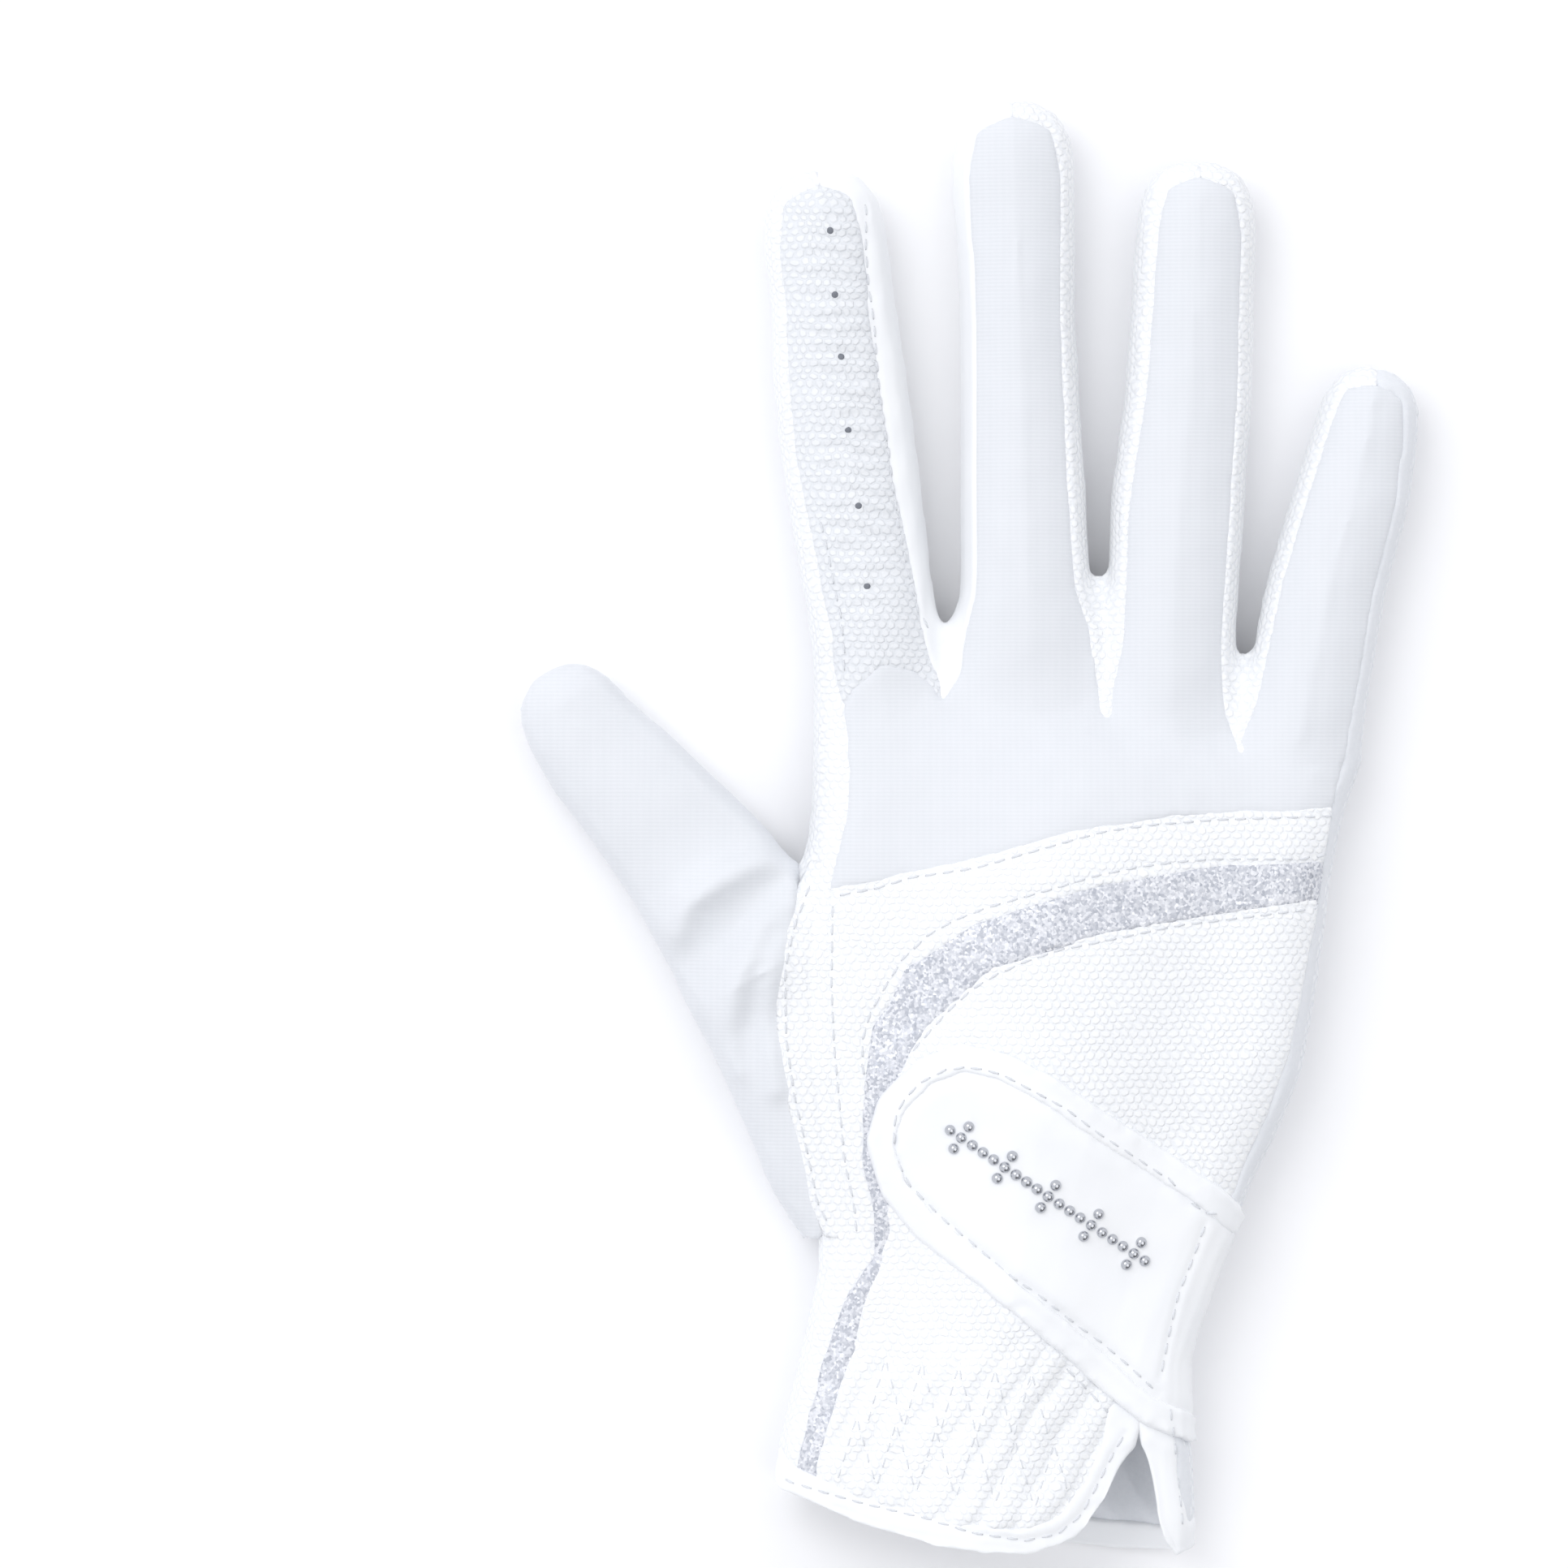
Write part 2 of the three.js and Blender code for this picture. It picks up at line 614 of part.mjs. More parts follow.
// The open mouth of the cuff and the slit beside the flap.
const backEdge = BACK_EDGE.map(handPoint);
const flapEdge = FLAP_EDGE.map(handPoint);
const palmEdge = PALM_EDGE.map(handPoint);
const beyond = [
  new THREE.Vector2(HAND_WIDTH, -HAND_LENGTH * CUFF_BEYOND),
  new THREE.Vector2(-HAND_WIDTH, -HAND_LENGTH * CUFF_BEYOND),
];
const backMouth = prism([...backEdge, ...flapEdge, ...beyond], SEAM_LEVEL, HIGH);
const palmMouth = prism([...beyond, ...palmEdge.toReversed()], FLOOR, SEAM_LEVEL);
const mouth = backMouth.add(palmMouth);

// The zones of the edge bindings, grown by a clearance where the panels are cut back for them.
const backZone = (clear) =>
  strip(backEdge, 2 * (BINDING_WIDTH + clear), SEAM_LEVEL + SEAM_GAP / 2 - clear, HIGH);
const palmZone = (clear) =>
  strip(palmEdge, 2 * (BINDING_WIDTH + clear), FLOOR, SEAM_LEVEL - SEAM_GAP / 2 + clear);
const flapZone = (clear) =>
  strip(flapEdge, 2 * (BINDING_WIDTH + clear), SEAM_LEVEL - BINDING_WIDTH - clear, HIGH);

// The hollow shell of the hand and fingers, open to the thumb and at the cuff.
const handOuter = hand(0, HAND_FACETS, true).add(fingers(0, FINGER_FACETS));
const handHollow = hand(-WALL, HAND_HOLLOW_FACETS).add(fingers(-WALL, FINGER_FACETS));
const thumbHollow = digitBody(thumbDigit, -WALL, THUMB_HOLLOW_FACETS);
const cutAway = [handHollow, thumbHollow, mouth];
for (const zoneOf of [backZone, palmZone, flapZone]) cutAway.push(zoneOf(SEAM_GAP));
const vent = (along) => {
  const { x, y } = digitPoint(index, along, sectionAt(index, along).side * index.width);
  const drill = new THREE.CylinderGeometry(VENT_RADIUS, VENT_RADIUS, HIGH, VENT_SIDES);
  return solid(drill.rotateX(Math.PI / 2).translate(x, y, FINGER_THICK / 2 + HIGH / 2));
};
cutAway.push(
  strip(backSeam, SEAM_GAP, FINGER_THICK / 2, HIGH),
  strip(palmSeam, SEAM_GAP, FLOOR, FINGER_THICK / 2),
  ...[INDEX_SEAM, BAND_SEAM, STRIPE_TOP, STRIPE_LOW].map(seamAbove),
  ...Object.values(digits).map(tipCut),
  patchCut(index, INDEX_PATCH),
  patchCut(little, LITTLE_PATCH),
  ...vents.map(vent),
);
const panels = cutAway.reduce((rest, cut) => rest.subtract(cut), handOuter).decompose();

// The panel that a thin probe, set upright at a place on the plan, goes through.
function panelAt({ x, y }, low, high) {
  const probe = solid(new THREE.BoxGeometry(PROBE, PROBE, high - low).translate(x, y, (low + high) / 2));
  const share = (panel) => panel.intersect(probe).volume();
  return panels.reduce((best, panel) => (share(panel) > share(best) ? panel : best));
}

const largest = (body) =>
  body.decompose().reduce((best, part) => (part.volume() > best.volume() ? part : best));

// The thumb is cut back to the hand and parted into its knit back and its leather palm side.
const handCleared = hand(SEAM_GAP, HAND_FACETS).add(fingers(SEAM_GAP, FINGER_FACETS));
const thumbShell = digitBody(thumbDigit, 0, THUMB_FACETS).subtract(thumbHollow).subtract(handCleared);
const everywhere = [
  new THREE.Vector2(-2 * HAND_WIDTH, -HAND_LENGTH),
  new THREE.Vector2(2 * HAND_WIDTH, -HAND_LENGTH),
  new THREE.Vector2(2 * HAND_WIDTH, 2 * HAND_LENGTH),
  new THREE.Vector2(-2 * HAND_WIDTH, 2 * HAND_LENGTH),
];
const thumbSeam = THUMB_THICK * THUMB_SEAM_SHARE;
const thumbBack = thumbShell.intersect(prism(everywhere, thumbSeam + SEAM_GAP / 2, HIGH));
const thumbPalm = thumbShell.intersect(prism(everywhere, FLOOR, thumbSeam - SEAM_GAP / 2));

// Rolled edges of the cuff, thicker than the panels that they close.
const flapSide = prism(
  [...flapEdge, new THREE.Vector2(HAND_WIDTH, 0), new THREE.Vector2(HAND_WIDTH, HAND_LENGTH / 2),
    new THREE.Vector2(flapEdge[0].x, HAND_LENGTH / 2)],
  FLOOR,
  HIGH,
);
const backRoll = hand(BINDING_PROUD, HAND_FACETS, true)
  .subtract(hand(-WALL - BINDING_PROUD, HAND_HOLLOW_FACETS))
  .intersect(backZone(0))
  .subtract(backMouth)
  .subtract(flapSide)
  .subtract(strip(flapEdge, 2 * SEAM_GAP, FLOOR, HIGH));
const palmRoll = hand(0, HAND_FACETS)
  .subtract(hand(-WALL - 2 * BINDING_PROUD, HAND_HOLLOW_FACETS))
  .intersect(palmZone(0).add(flapZone(0).intersect(flapSide)))
  .subtract(mouth);

// The closing tab lies on the wrist and wraps over its little-finger side, inside its own rolled edge.
const strapEdge = STRAP_EDGE.map(handPoint);
const strapFace = prism(strapEdge, SEAM_LEVEL, HIGH);
const strapZone = (width) => strip(strapEdge, 2 * width, SEAM_LEVEL, HIGH);
const onHand = (thick) => hand(SEAM_GAP + thick, HAND_FACETS).subtract(hand(SEAM_GAP, HAND_FACETS));
const strap = onHand(STRAP_THICK)
  .intersect(strapFace)
  .subtract(strapZone(STRAP_BINDING_WIDTH + SEAM_GAP));
const strapRoll = onHand(STRAP_BINDING_THICK)
  .intersect(strapFace)
  .intersect(strapZone(STRAP_BINDING_WIDTH));

// Finishes
const LEATHER = { color: 0xf6f8fa, roughness: 0.55, metalness: 0 };
const PALM_LEATHER = { color: 0xf1f4f8, roughness: 0.6, metalness: 0 };
const KNIT = { color: 0xebeef5, roughness: 0.9, metalness: 0 };
const GLITTER = { color: 0xd9dce2, roughness: 0.4, metalness: 0.3 };
const METAL = { color: 0xc9ccd1, roughness: 0.2, metalness: 1 };

const placed = new THREE.Group();

function addMesh(name, body, finish) {
  const made = body.getMesh();
  const geometry = new THREE.BufferGeometry();
  geometry.setAttribute("position", new THREE.BufferAttribute(made.vertProperties, 3));
  geometry.setIndex(new THREE.BufferAttribute(made.triVerts, 1));
  const shown = geometry.toNonIndexed();
  shown.computeVertexNormals();
  const mesh = new THREE.Mesh(shown, new THREE.MeshStandardMaterial(finish));
  mesh.name = name;
  placed.add(mesh);
  return mesh;
}

const outward = (web) => web.clone().add(new THREE.Vector2(0, PALM_INSET));
const top = (across, up) => [handPoint({ across, up }), SEAM_LEVEL, HIGH];
const side = (web) => [outward(web), FLOOR, HIGH];
const under = (digit, along) => [digitPoint(digit, along, 0), FLOOR, FINGER_THICK / 2];
const PANELS = {
  back_panel: [top(0, 0.87), KNIT],
  index_back: [[digitPoint(index, 0.32, 0), FINGER_THICK / 2, HIGH], LEATHER],
  thumb_side_strip: [top(-0.48, 0.65), LEATHER],
  knuckle_band: [top(0, 0.75), LEATHER],
  glitter_stripe: [top(0, 0.7), GLITTER],
  wrist_back_panel: [top(0, 0.5), LEATHER],
  fourchette_index_middle: [side(webs[0]), LEATHER],
  fourchette_middle_ring: [side(webs[1]), LEATHER],
  fourchette_ring_little: [side(webs[2]), LEATHER],
  palm_panel: [[handPoint({ across: 0, up: 0.5 }), FLOOR, SEAM_LEVEL], PALM_LEATHER],
  index_rein_patch: [under(index, 0.3), PALM_LEATHER],
  little_finger_patch: [under(little, 0.3), PALM_LEATHER],
};
for (const [name, [place, finish]] of Object.entries(PANELS)) {
  addMesh(name, panelAt(...place), finish);
}
addMesh("thumb_back", largest(thumbBack), KNIT);
addMesh("thumb_palm", largest(thumbPalm), PALM_LEATHER);
addMesh("back_cuff_binding", largest(backRoll), LEATHER);
addMesh("palm_cuff_binding", largest(palmRoll), LEATHER);
addMesh("closure_strap", largest(strap), LEATHER);
addMesh("strap_binding", largest(strapRoll), LEATHER);

// The wrist's upper surface at a point of the plan, with its normal.
function wristTop(point, grow) {
  const heightAt = ({ x, y }) => {
    const up = y / HAND_LENGTH;
    const i = HAND_SECTIONS.findIndex((row) => row.leftUp < up) - 1;
    const [high, low] = [HAND_SECTIONS[i], HAND_SECTIONS[i + 1]];
    const row = lerpRow(high, low, (high.leftUp - up) / (high.leftUp - low.leftUp));
    const { left, right, middle, edge, crown } = handStation(row, grow);
    const flat = (right.x - left.x) / 2 - edge / 2;
    const share = (x - (left.x + right.x) / 2) / flat;
    return middle + edge / 2 + crown * (0.5 + 0.5 * Math.cos(Math.PI * share));
  };
  const z = heightAt(point);
  const step = STUD_RADIUS;
  const slopeX = (heightAt({ x: point.x + step, y: point.y }) - z) / step;
  const slopeY = (heightAt({ x: point.x, y: point.y + step }) - z) / step;
  return {
    place: new THREE.Vector3(point.x, point.y, z),
    normal: new THREE.Vector3(-slopeX, -slopeY, 1).normalize(),
  };
}

// The studs: a row of small rosettes, each four studs round one, with single studs between them.
const studGeometry = new THREE.LatheGeometry(
  [
    new THREE.Vector2(0, 0),
    new THREE.Vector2(STUD_RADIUS, 0),
    new THREE.Vector2(STUD_RADIUS * Math.SQRT1_2, STUD_HEIGHT * Math.SQRT1_2),
    new THREE.Vector2(0, STUD_HEIGHT),
  ],
  STUD_SIDES,
).rotateX(Math.PI / 2);
const fieldCentre = handPoint(STUD_FIELD);
const fieldTurn = THREE.MathUtils.degToRad(STUD_FIELD.turn);
const studPlaces = [];
for (let i = 0; i < ROSETTES; i++) {
  const centre = (i - (ROSETTES - 1) / 2) * ROSETTE_PITCH;
  const petals = [[0, 0], [STUD_SPREAD, 0], [0, STUD_SPREAD], [-STUD_SPREAD, 0], [0, -STUD_SPREAD]];
  for (const [x, y] of petals) studPlaces.push(new THREE.Vector2(centre + x, y));
  if (i < ROSETTES - 1) studPlaces.push(new THREE.Vector2(centre + ROSETTE_PITCH / 2, 0));
}
studPlaces.forEach((place, i) => {
  const point = place.rotateAround(new THREE.Vector2(), fieldTurn).add(fieldCentre);
  const seat = wristTop(point, SEAM_GAP + STRAP_THICK + STUD_GAP);
  const stud = new THREE.Mesh(studGeometry, new THREE.MeshStandardMaterial(METAL));
  stud.name = "stud_" + String(i + 1).padStart(2, "0");
  stud.position.copy(seat.place);
  stud.quaternion.setFromUnitVectors(new THREE.Vector3(0, 0, 1), seat.normal);
  placed.add(stud);
});

// The middle of the outline is the origin.
const glove = new THREE.Group();
glove.add(placed);
const centre = new THREE.Box3().setFromObject(placed).getCenter(new THREE.Vector3());
placed.position.set(-centre.x, -centre.y, 0);

export default glove;
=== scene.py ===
"""Horse riding glove for the right hand, lying palm down and seen from its back."""

import logging
import math
from collections.abc import Sequence
from dataclasses import dataclass, field
from enum import Enum

import bmesh
import bpy
import numpy as np
from bpy.types import Material, Mesh, Node, NodeSocket, NodeTree, Object
from mathutils import Matrix, Vector
from mathutils.bvhtree import BVHTree
from mathutils.kdtree import KDTree


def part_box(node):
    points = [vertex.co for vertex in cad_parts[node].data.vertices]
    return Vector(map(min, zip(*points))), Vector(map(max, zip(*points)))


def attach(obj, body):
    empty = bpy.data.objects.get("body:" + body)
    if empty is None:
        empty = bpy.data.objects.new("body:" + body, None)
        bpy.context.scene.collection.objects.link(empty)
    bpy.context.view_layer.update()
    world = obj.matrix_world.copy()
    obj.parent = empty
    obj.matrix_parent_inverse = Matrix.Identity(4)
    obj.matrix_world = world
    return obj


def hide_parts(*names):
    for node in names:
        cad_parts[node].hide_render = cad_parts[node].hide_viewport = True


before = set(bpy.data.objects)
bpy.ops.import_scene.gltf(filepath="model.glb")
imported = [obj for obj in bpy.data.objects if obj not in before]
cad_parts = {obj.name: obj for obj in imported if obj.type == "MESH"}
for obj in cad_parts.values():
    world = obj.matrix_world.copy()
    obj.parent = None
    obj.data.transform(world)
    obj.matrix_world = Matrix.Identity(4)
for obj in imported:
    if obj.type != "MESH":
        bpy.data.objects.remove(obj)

LOG = logging.getLogger("riding_glove")
MM = 0.001
MERGE = 0.005 * MM  # corners of a solid that lie closer than this are one
FAR = 0.1  # a height clear of the glove, in metres, from which rays start
STEEP = 0.3  # below this upright share of a normal, no stitch is laid

Line = tuple[tuple[float, float], ...]
Finishes = dict[str, Material]
Pieces = dict[str, Object]

# Sewn lines on the plan of the glove, in millimetres from its middle.
INDEX_RIGHT: Line = (
    (-17.2, 104.3), (-17.2, 96.7), (-16.8, 90.6), (-15.8, 83.9), (-15.4, 77.1), (-14.5, 69.1),
    (-13.4, 62.3), (-12.6, 55.6), (-11.5, 48.9), (-10.0, 42.1), (-8.7, 36.8), (-7.1, 34.1),
)
STRIP_TOP: Line = ((-24.8, 51.6), (-23.5, 46.2), (-22.5, 40.8), (-21.3, 35.4), (-20.8, 30.0), (-20.8, 26.0))
STRIP_SEAM: Line = (
    (-22.7, -12.0), (-22.9, -25.2), (-22.5, -35.3), (-21.5, -46.0), (-20.7, -54.8), (-19.2, -61.5),
    (-18.6, -68.0),
)
STRIP_LEFT: Line = (
    (-26.3, -8.7), (-29.2, -16.3), (-30.6, -23.1), (-30.4, -34.6), (-29.0, -44.0), (-27.3, -51.4),
    (-25.2, -61.5), (-23.0, -66.0),
)
STRIP_BORDER: Line = (
    (-26.6, -5.0), (-28.4, -9.0), (-31.1, -17.1), (-32.1, -23.1), (-31.9, -34.6), (-30.5, -44.0),
    (-28.8, -51.4), (-26.7, -61.5), (-24.0, -67.5),
)
STRIP_MIDDLE: Line = (
    (-23.6, -5.0), (-24.0, -9.0), (-24.6, -17.1), (-24.9, -23.1), (-24.8, -34.6), (-24.0, -44.0),
    (-23.0, -51.4), (-21.6, -61.5), (-20.8, -67.5),
)
BAND_TOP: Line = (
    (-22.1, -10.8), (-15.4, -9.5), (-10.0, -7.8), (0.7, -6.2), (7.5, -4.2), (16.2, -1.7), (22.2, -0.1),
    (30.3, 1.0), (41.1, 1.8), (60.6, 2.4),
)
STRIPE_OUTER: Line = (
    (59.6, -4.0), (54.5, -4.7), (40.4, -4.7), (34.4, -5.1), (27.4, -6.0), (20.6, -7.4), (13.9, -9.4),
    (7.0, -11.4), (2.9, -12.6), (-2.6, -14.7), (-6.8, -17.1), (-11.0, -21.0), (-13.8, -25.3),
    (-16.5, -30.1), (-17.8, -34.6), (-17.7, -39.3), (-17.0, -42.7),
)
STRIPE_INNER: Line = (
    (58.8, -12.2), (54.7, -13.2), (43.9, -14.5), (34.5, -15.6), (27.8, -16.9), (21.2, -18.3),
    (14.6, -19.6), (8.5, -21.7), (4.0, -23.8), (0.2, -26.1), (-3.7, -29.7), (-6.3, -32.6), (-9.0, -35.7),
)
STRAP_UPPER: Line = (
    (-12.5, -52.1), (-12.7, -49.4), (-12.1, -46.3), (-10.4, -43.6), (-8.0, -41.3), (-4.7, -39.6),
    (-1.3, -38.9), (2.1, -39.2), (5.4, -40.2), (10.1, -42.7), (15.5, -45.6), (20.9, -49.7), (27.0, -53.7),
    (33.0, -57.7), (36.4, -61.5), (39.1, -63.1), (41.7, -63.5),
)
STRAP_LOWER: Line = (
    (-12.2, -54.1), (-10.0, -58.4), (-4.7, -63.8), (0.7, -68.2), (6.1, -72.9), (11.5, -76.6),
    (16.9, -81.0), (21.6, -84.4), (26.3, -88.4), (31.0, -92.9),
)
STRAP_END: Line = ((38.9, -64.9), (37.0, -70.2), (34.4, -76.6), (33.0, -82.6), (31.4, -90.4))
CUFF_ROW: Line = (
    (-31.2, -107.3), (-26.2, -108.7), (-17.0, -111.2), (-7.6, -113.2), (0.5, -115.5), (9.1, -116.8),
    (14.2, -115.9), (18.2, -112.9), (21.2, -107.5), (23.9, -102.3), (25.6, -99.5),
)
SHEET_EDGE: Line = ((15.5, -88.4), (18.9, -91.8), (22.2, -95.4), (24.3, -97.8))
FLAP_ROW: Line = ((33.0, -95.1), (33.9, -101.9), (34.6, -108.6), (35.3, -116.0))
VENTS: Line = ((-23.1, 99.2), (-22.3, 88.6), (-21.3, 78.4), (-20.1, 66.2), (-18.4, 53.7), (-17.0, 40.4))
THUMB_FOLDS: tuple[Line, ...] = (
    ((-29.5, -5.0), (-35.6, -5.6), (-41.0, -7.7), (-46.3, -11.7), (-48.4, -17.1)),
    ((-28.2, -9.3), (-34.2, -15.7), (-38.3, -23.8), (-39.9, -31.9), (-39.6, -40.0)),
    ((-28.2, -13.0), (-32.2, -21.1), (-33.6, -31.9), (-32.2, -42.7)),
)
FOLD_SIZES = ((2.0, 2.6), (2.4, 2.8), (1.6, 2.2))  # height and half the width of each thumb fold


class Side(Enum):
    """The face of the glove that a panel or a seam belongs to."""

    BACK = 1
    PALM = -1


def linear(code: str) -> tuple[float, float, float, float]:
    """Turns an sRGB hex value into a linear colour.

    Args:
        code: Six hex digits after a hash sign.

    Returns:
        Red, green, blue and a full alpha.
    """
    shades = [int(code[place : place + 2], 16) / 255 for place in (1, 3, 5)]
    red, green, blue = (
        shade / 12.92 if shade <= 0.04045 else ((shade + 0.055) / 1.055) ** 2.4 for shade in shades
    )
    return red, green, blue, 1.0


def add(
    tree: NodeTree, kind: str, inputs: dict[str | int, object] | None = None, **settings: object
) -> Node:
    """Adds a node to a material, with its settings, values and links.

    Args:
        tree: The node tree of the material.
        kind: Blender's name for the kind of node, less the ShaderNode in front.
        inputs: A value, or a socket to link from, for each input by its name or place.
        **settings: Properties of the node itself.

    Returns:
        The new node.
    """
    node = tree.nodes.new(f"ShaderNode{kind}")
    for key, value in settings.items():
        setattr(node, key, value)
    for key, value in (inputs or {}).items():
        if isinstance(value, NodeSocket):
            tree.links.new(value, node.inputs[key])
        else:
            node.inputs[key].default_value = value
    return node


# A mix node has inputs 2 and 3 for numbers, 4 and 5 for vectors and 6 and 7 for colours, and gives
# the mix of numbers at output 0, that of vectors at 1 and that of colours at 2.


def laid_flat(tree: NodeTree, place: NodeSocket) -> NodeSocket:
    """Lays a pattern of the plan along the glove's sides too, so that it isn't drawn out there.

    Args:
        tree: The node tree of the material.
        place: The point on the piece.

    Returns:
        The socket of the point on the flat pattern.
    """
    side_wall = 0.5  # below this upright share of its normal, a face is a side wall
    x, y, z = add(tree, "SeparateXYZ", {0: place}).outputs
    normal = add(tree, "NewGeometry").outputs["Normal"]
    size = add(tree, "VectorMath", {0: normal}, operation="ABSOLUTE")
    across, along, upright = add(tree, "SeparateXYZ", {0: size.outputs[0]}).outputs
    plan = add(tree, "CombineXYZ", {0: x, 1: y})
    beside = add(tree, "CombineXYZ", {0: y, 1: z})
    ahead = add(tree, "CombineXYZ", {0: x, 1: z})
    is_ahead = add(tree, "Math", {0: along, 1: across}, operation="GREATER_THAN")
    is_side = add(tree, "Math", {0: upright, 1: side_wall}, operation="LESS_THAN")
    either = {"Factor": is_ahead.outputs[0], 4: beside.outputs[0], 5: ahead.outputs[0]}
    wall = add(tree, "Mix", either, data_type="VECTOR")
    either = {"Factor": is_side.outputs[0], 4: plan.outputs[0], 5: wall.outputs[1]}
    return add(tree, "Mix", either, data_type="VECTOR").outputs[1]


def honeycomb(tree: NodeTree, place: NodeSocket, pitch: float) -> NodeSocket:
    """Draws the height of an embossed honeycomb, 1 on a cell and 0 in the groove round it.

    Args:
        tree: The node tree of the material.
        place: The point on the leather.
        pitch: Distance from cell to cell, in metres.

    Returns:
        The socket that gives the height.
    """
    rim, flat_top = 0.5, 0.22  # shares of the pitch from a cell's middle
    half = (pitch / 2, pitch * math.sqrt(3) / 2, 1.0)
    low = tuple(-side for side in half)
    cells = []
    for offset in ((0.0, 0.0, 0.0), (half[0], half[1], 0.0)):
        moved = add(tree, "VectorMath", {0: place, 1: offset}, operation="ADD")
        wrapped = add(tree, "VectorMath", {0: moved.outputs[0], 1: half, 2: low}, operation="WRAP")
        cell = wrapped.outputs[0]
        reach = add(tree, "VectorMath", {0: cell, 1: cell}, operation="DOT_PRODUCT")
        cells.append((cell, reach.outputs["Value"]))
    (first, first_reach), (second, second_reach) = cells
    nearer = add(tree, "Math", {0: first_reach, 1: second_reach}, operation="LESS_THAN")
    either = {"Factor": nearer.outputs[0], 4: second, 5: first}
    cell = add(tree, "Mix", either, data_type="VECTOR").outputs[1]
    mirrored = add(tree, "VectorMath", {0: cell}, operation="ABSOLUTE").outputs[0]
    slant = (0.5, math.sqrt(3) / 2, 0.0)
    slanted = add(tree, "VectorMath", {0: mirrored, 1: slant}, operation="DOT_PRODUCT")
    level = add(tree, "SeparateXYZ", {0: mirrored}).outputs[0]
    edge = add(tree, "Math", {0: level, 1: slanted.outputs["Value"]}, operation="MAXIMUM")
    slope = {"Value": edge.outputs[0], "From Min": pitch * rim, "From Max": pitch * flat_top}
    slope |= {"To Min": 0.0, "To Max": 1.0}
    return add(tree, "MapRange", slope, interpolation_type="SMOOTHERSTEP").outputs[0]


@dataclass(frozen=True)
class Finish:
    """What the finishes share: a name, a start from the piece's own coordinates and an end."""

    name: str

    def begin(self) -> tuple[Material, NodeTree, NodeSocket]:
        """Starts a material.

        Returns:
            The material, its cleared tree and the socket of the point on the piece.
        """
        material = bpy.data.materials.new(self.name)
        material.use_nodes = True
        tree = material.node_tree
        tree.nodes.clear()
        coordinates = add(tree, "TexCoord")
        return material, tree, coordinates.outputs["Object"]

    def end(
        self,
        tree: NodeTree,
        values: dict[str, object],
        tone: tuple[NodeSocket, str, str] | None = None,
        reliefs: Sequence[tuple[NodeSocket, float, float]] = (),
        rough: tuple[NodeSocket, float, float] | None = None,
    ) -> None:
        """Closes a material with its colour, relief and roughness, its shader and its output.

        Args:
            tree: The node tree of the material.
            values: The shader's other values and links.
            tone: A socket that runs from 0 to 1, and the sRGB colours at its two ends.
            reliefs: From the lowest up, a socket of a height, its depth in metres and its strength.
            rough: A socket that runs from 0 to 1, and the roughness at its two ends.
        """
        inputs = dict(values)
        if tone:
            share, low, high = tone
            ends = {"Factor": share, 6: linear(low), 7: linear(high)}
            inputs["Base Color"] = add(tree, "Mix", ends, data_type="RGBA").outputs[2]
        for height, depth, strength in reliefs:
            bump = {"Height": height, "Distance": depth, "Strength": strength}
            if "Normal" in inputs:
                bump["Normal"] = inputs["Normal"]
            inputs["Normal"] = add(tree, "Bump", bump).outputs[0]
        if rough:
            share, smooth, dull = rough
            spread = {"Value": share, "To Min": smooth, "To Max": dull}
            inputs["Roughness"] = add(tree, "MapRange", spread).outputs[0]
        shader = add(tree, "BsdfPrincipled", inputs)
        add(tree, "OutputMaterial", {"Surface": shader.outputs[0]})


@dataclass(frozen=True)
class EmbossedLeather(Finish):
    """Synthetic riding leather, polyurethane on a knitted backing, pressed with a fine honeycomb.

    The pressing gives rows of small soft cells; their grooves are painted a faint shade darker, as painted
    shade.
    """

    cell: str = "#F7F8F9"
    # painted shade: the colour of the grooves, a little darker than the cells
    groove: str = "#F1F3F6"
    pitch: float = 1.6 * MM
    relief: float = 0.14 * MM
    squat: float = 1.15  # a cell is shorter along the glove than across by this factor
    stray: float = 1.4  # how far the stretched leather carries its cells off, in pitches
    stray_length: float = 5 * MM
    grain: float = 0.35 * MM
    grain_depth: float = 0.03 * MM
    smooth: float = 0.44
    dull: float = 0.58

    def make(self) -> Material:
        """Builds the material.

        Returns:
            The material.
        """
        material, tree, place = self.begin()
        squatter = {0: laid_flat(tree, place), 1: (1.0, self.squat, 0.0)}
        level = add(tree, "VectorMath", squatter, operation="MULTIPLY")
        slow = {"Vector": place, "Scale": 1 / self.stray_length, "Detail": 3.0, "Roughness": 0.6}
        drift = add(tree, "TexNoise", slow)
        reach = (self.pitch * self.stray, self.pitch * self.stray, 0.0)
        pulled = add(tree, "VectorMath", {0: drift.outputs["Color"], 1: reach}, operation="MULTIPLY")
        drawn = add(tree, "VectorMath", {0: level.outputs[0], 1: pulled.outputs[0]}, operation="ADD")
        height = honeycomb(tree, drawn.outputs[0], self.pitch)
        fine = {"Vector": place, "Scale": 1 / self.grain, "Detail": 2.0}
        pores = add(tree, "TexNoise", fine).outputs["Fac"]
        # the honeycomb's height sets the colour: the grooves take the painted shade, the cells the lighter
        # colour
        self.end(
            tree,
            {"Specular IOR Level": 0.4},
            tone=(height, self.groove, self.cell),
            reliefs=((pores, self.grain_depth, 0.5), (height, self.relief, 0.8)),
            rough=(pores, self.smooth, self.dull),
        )
        return material


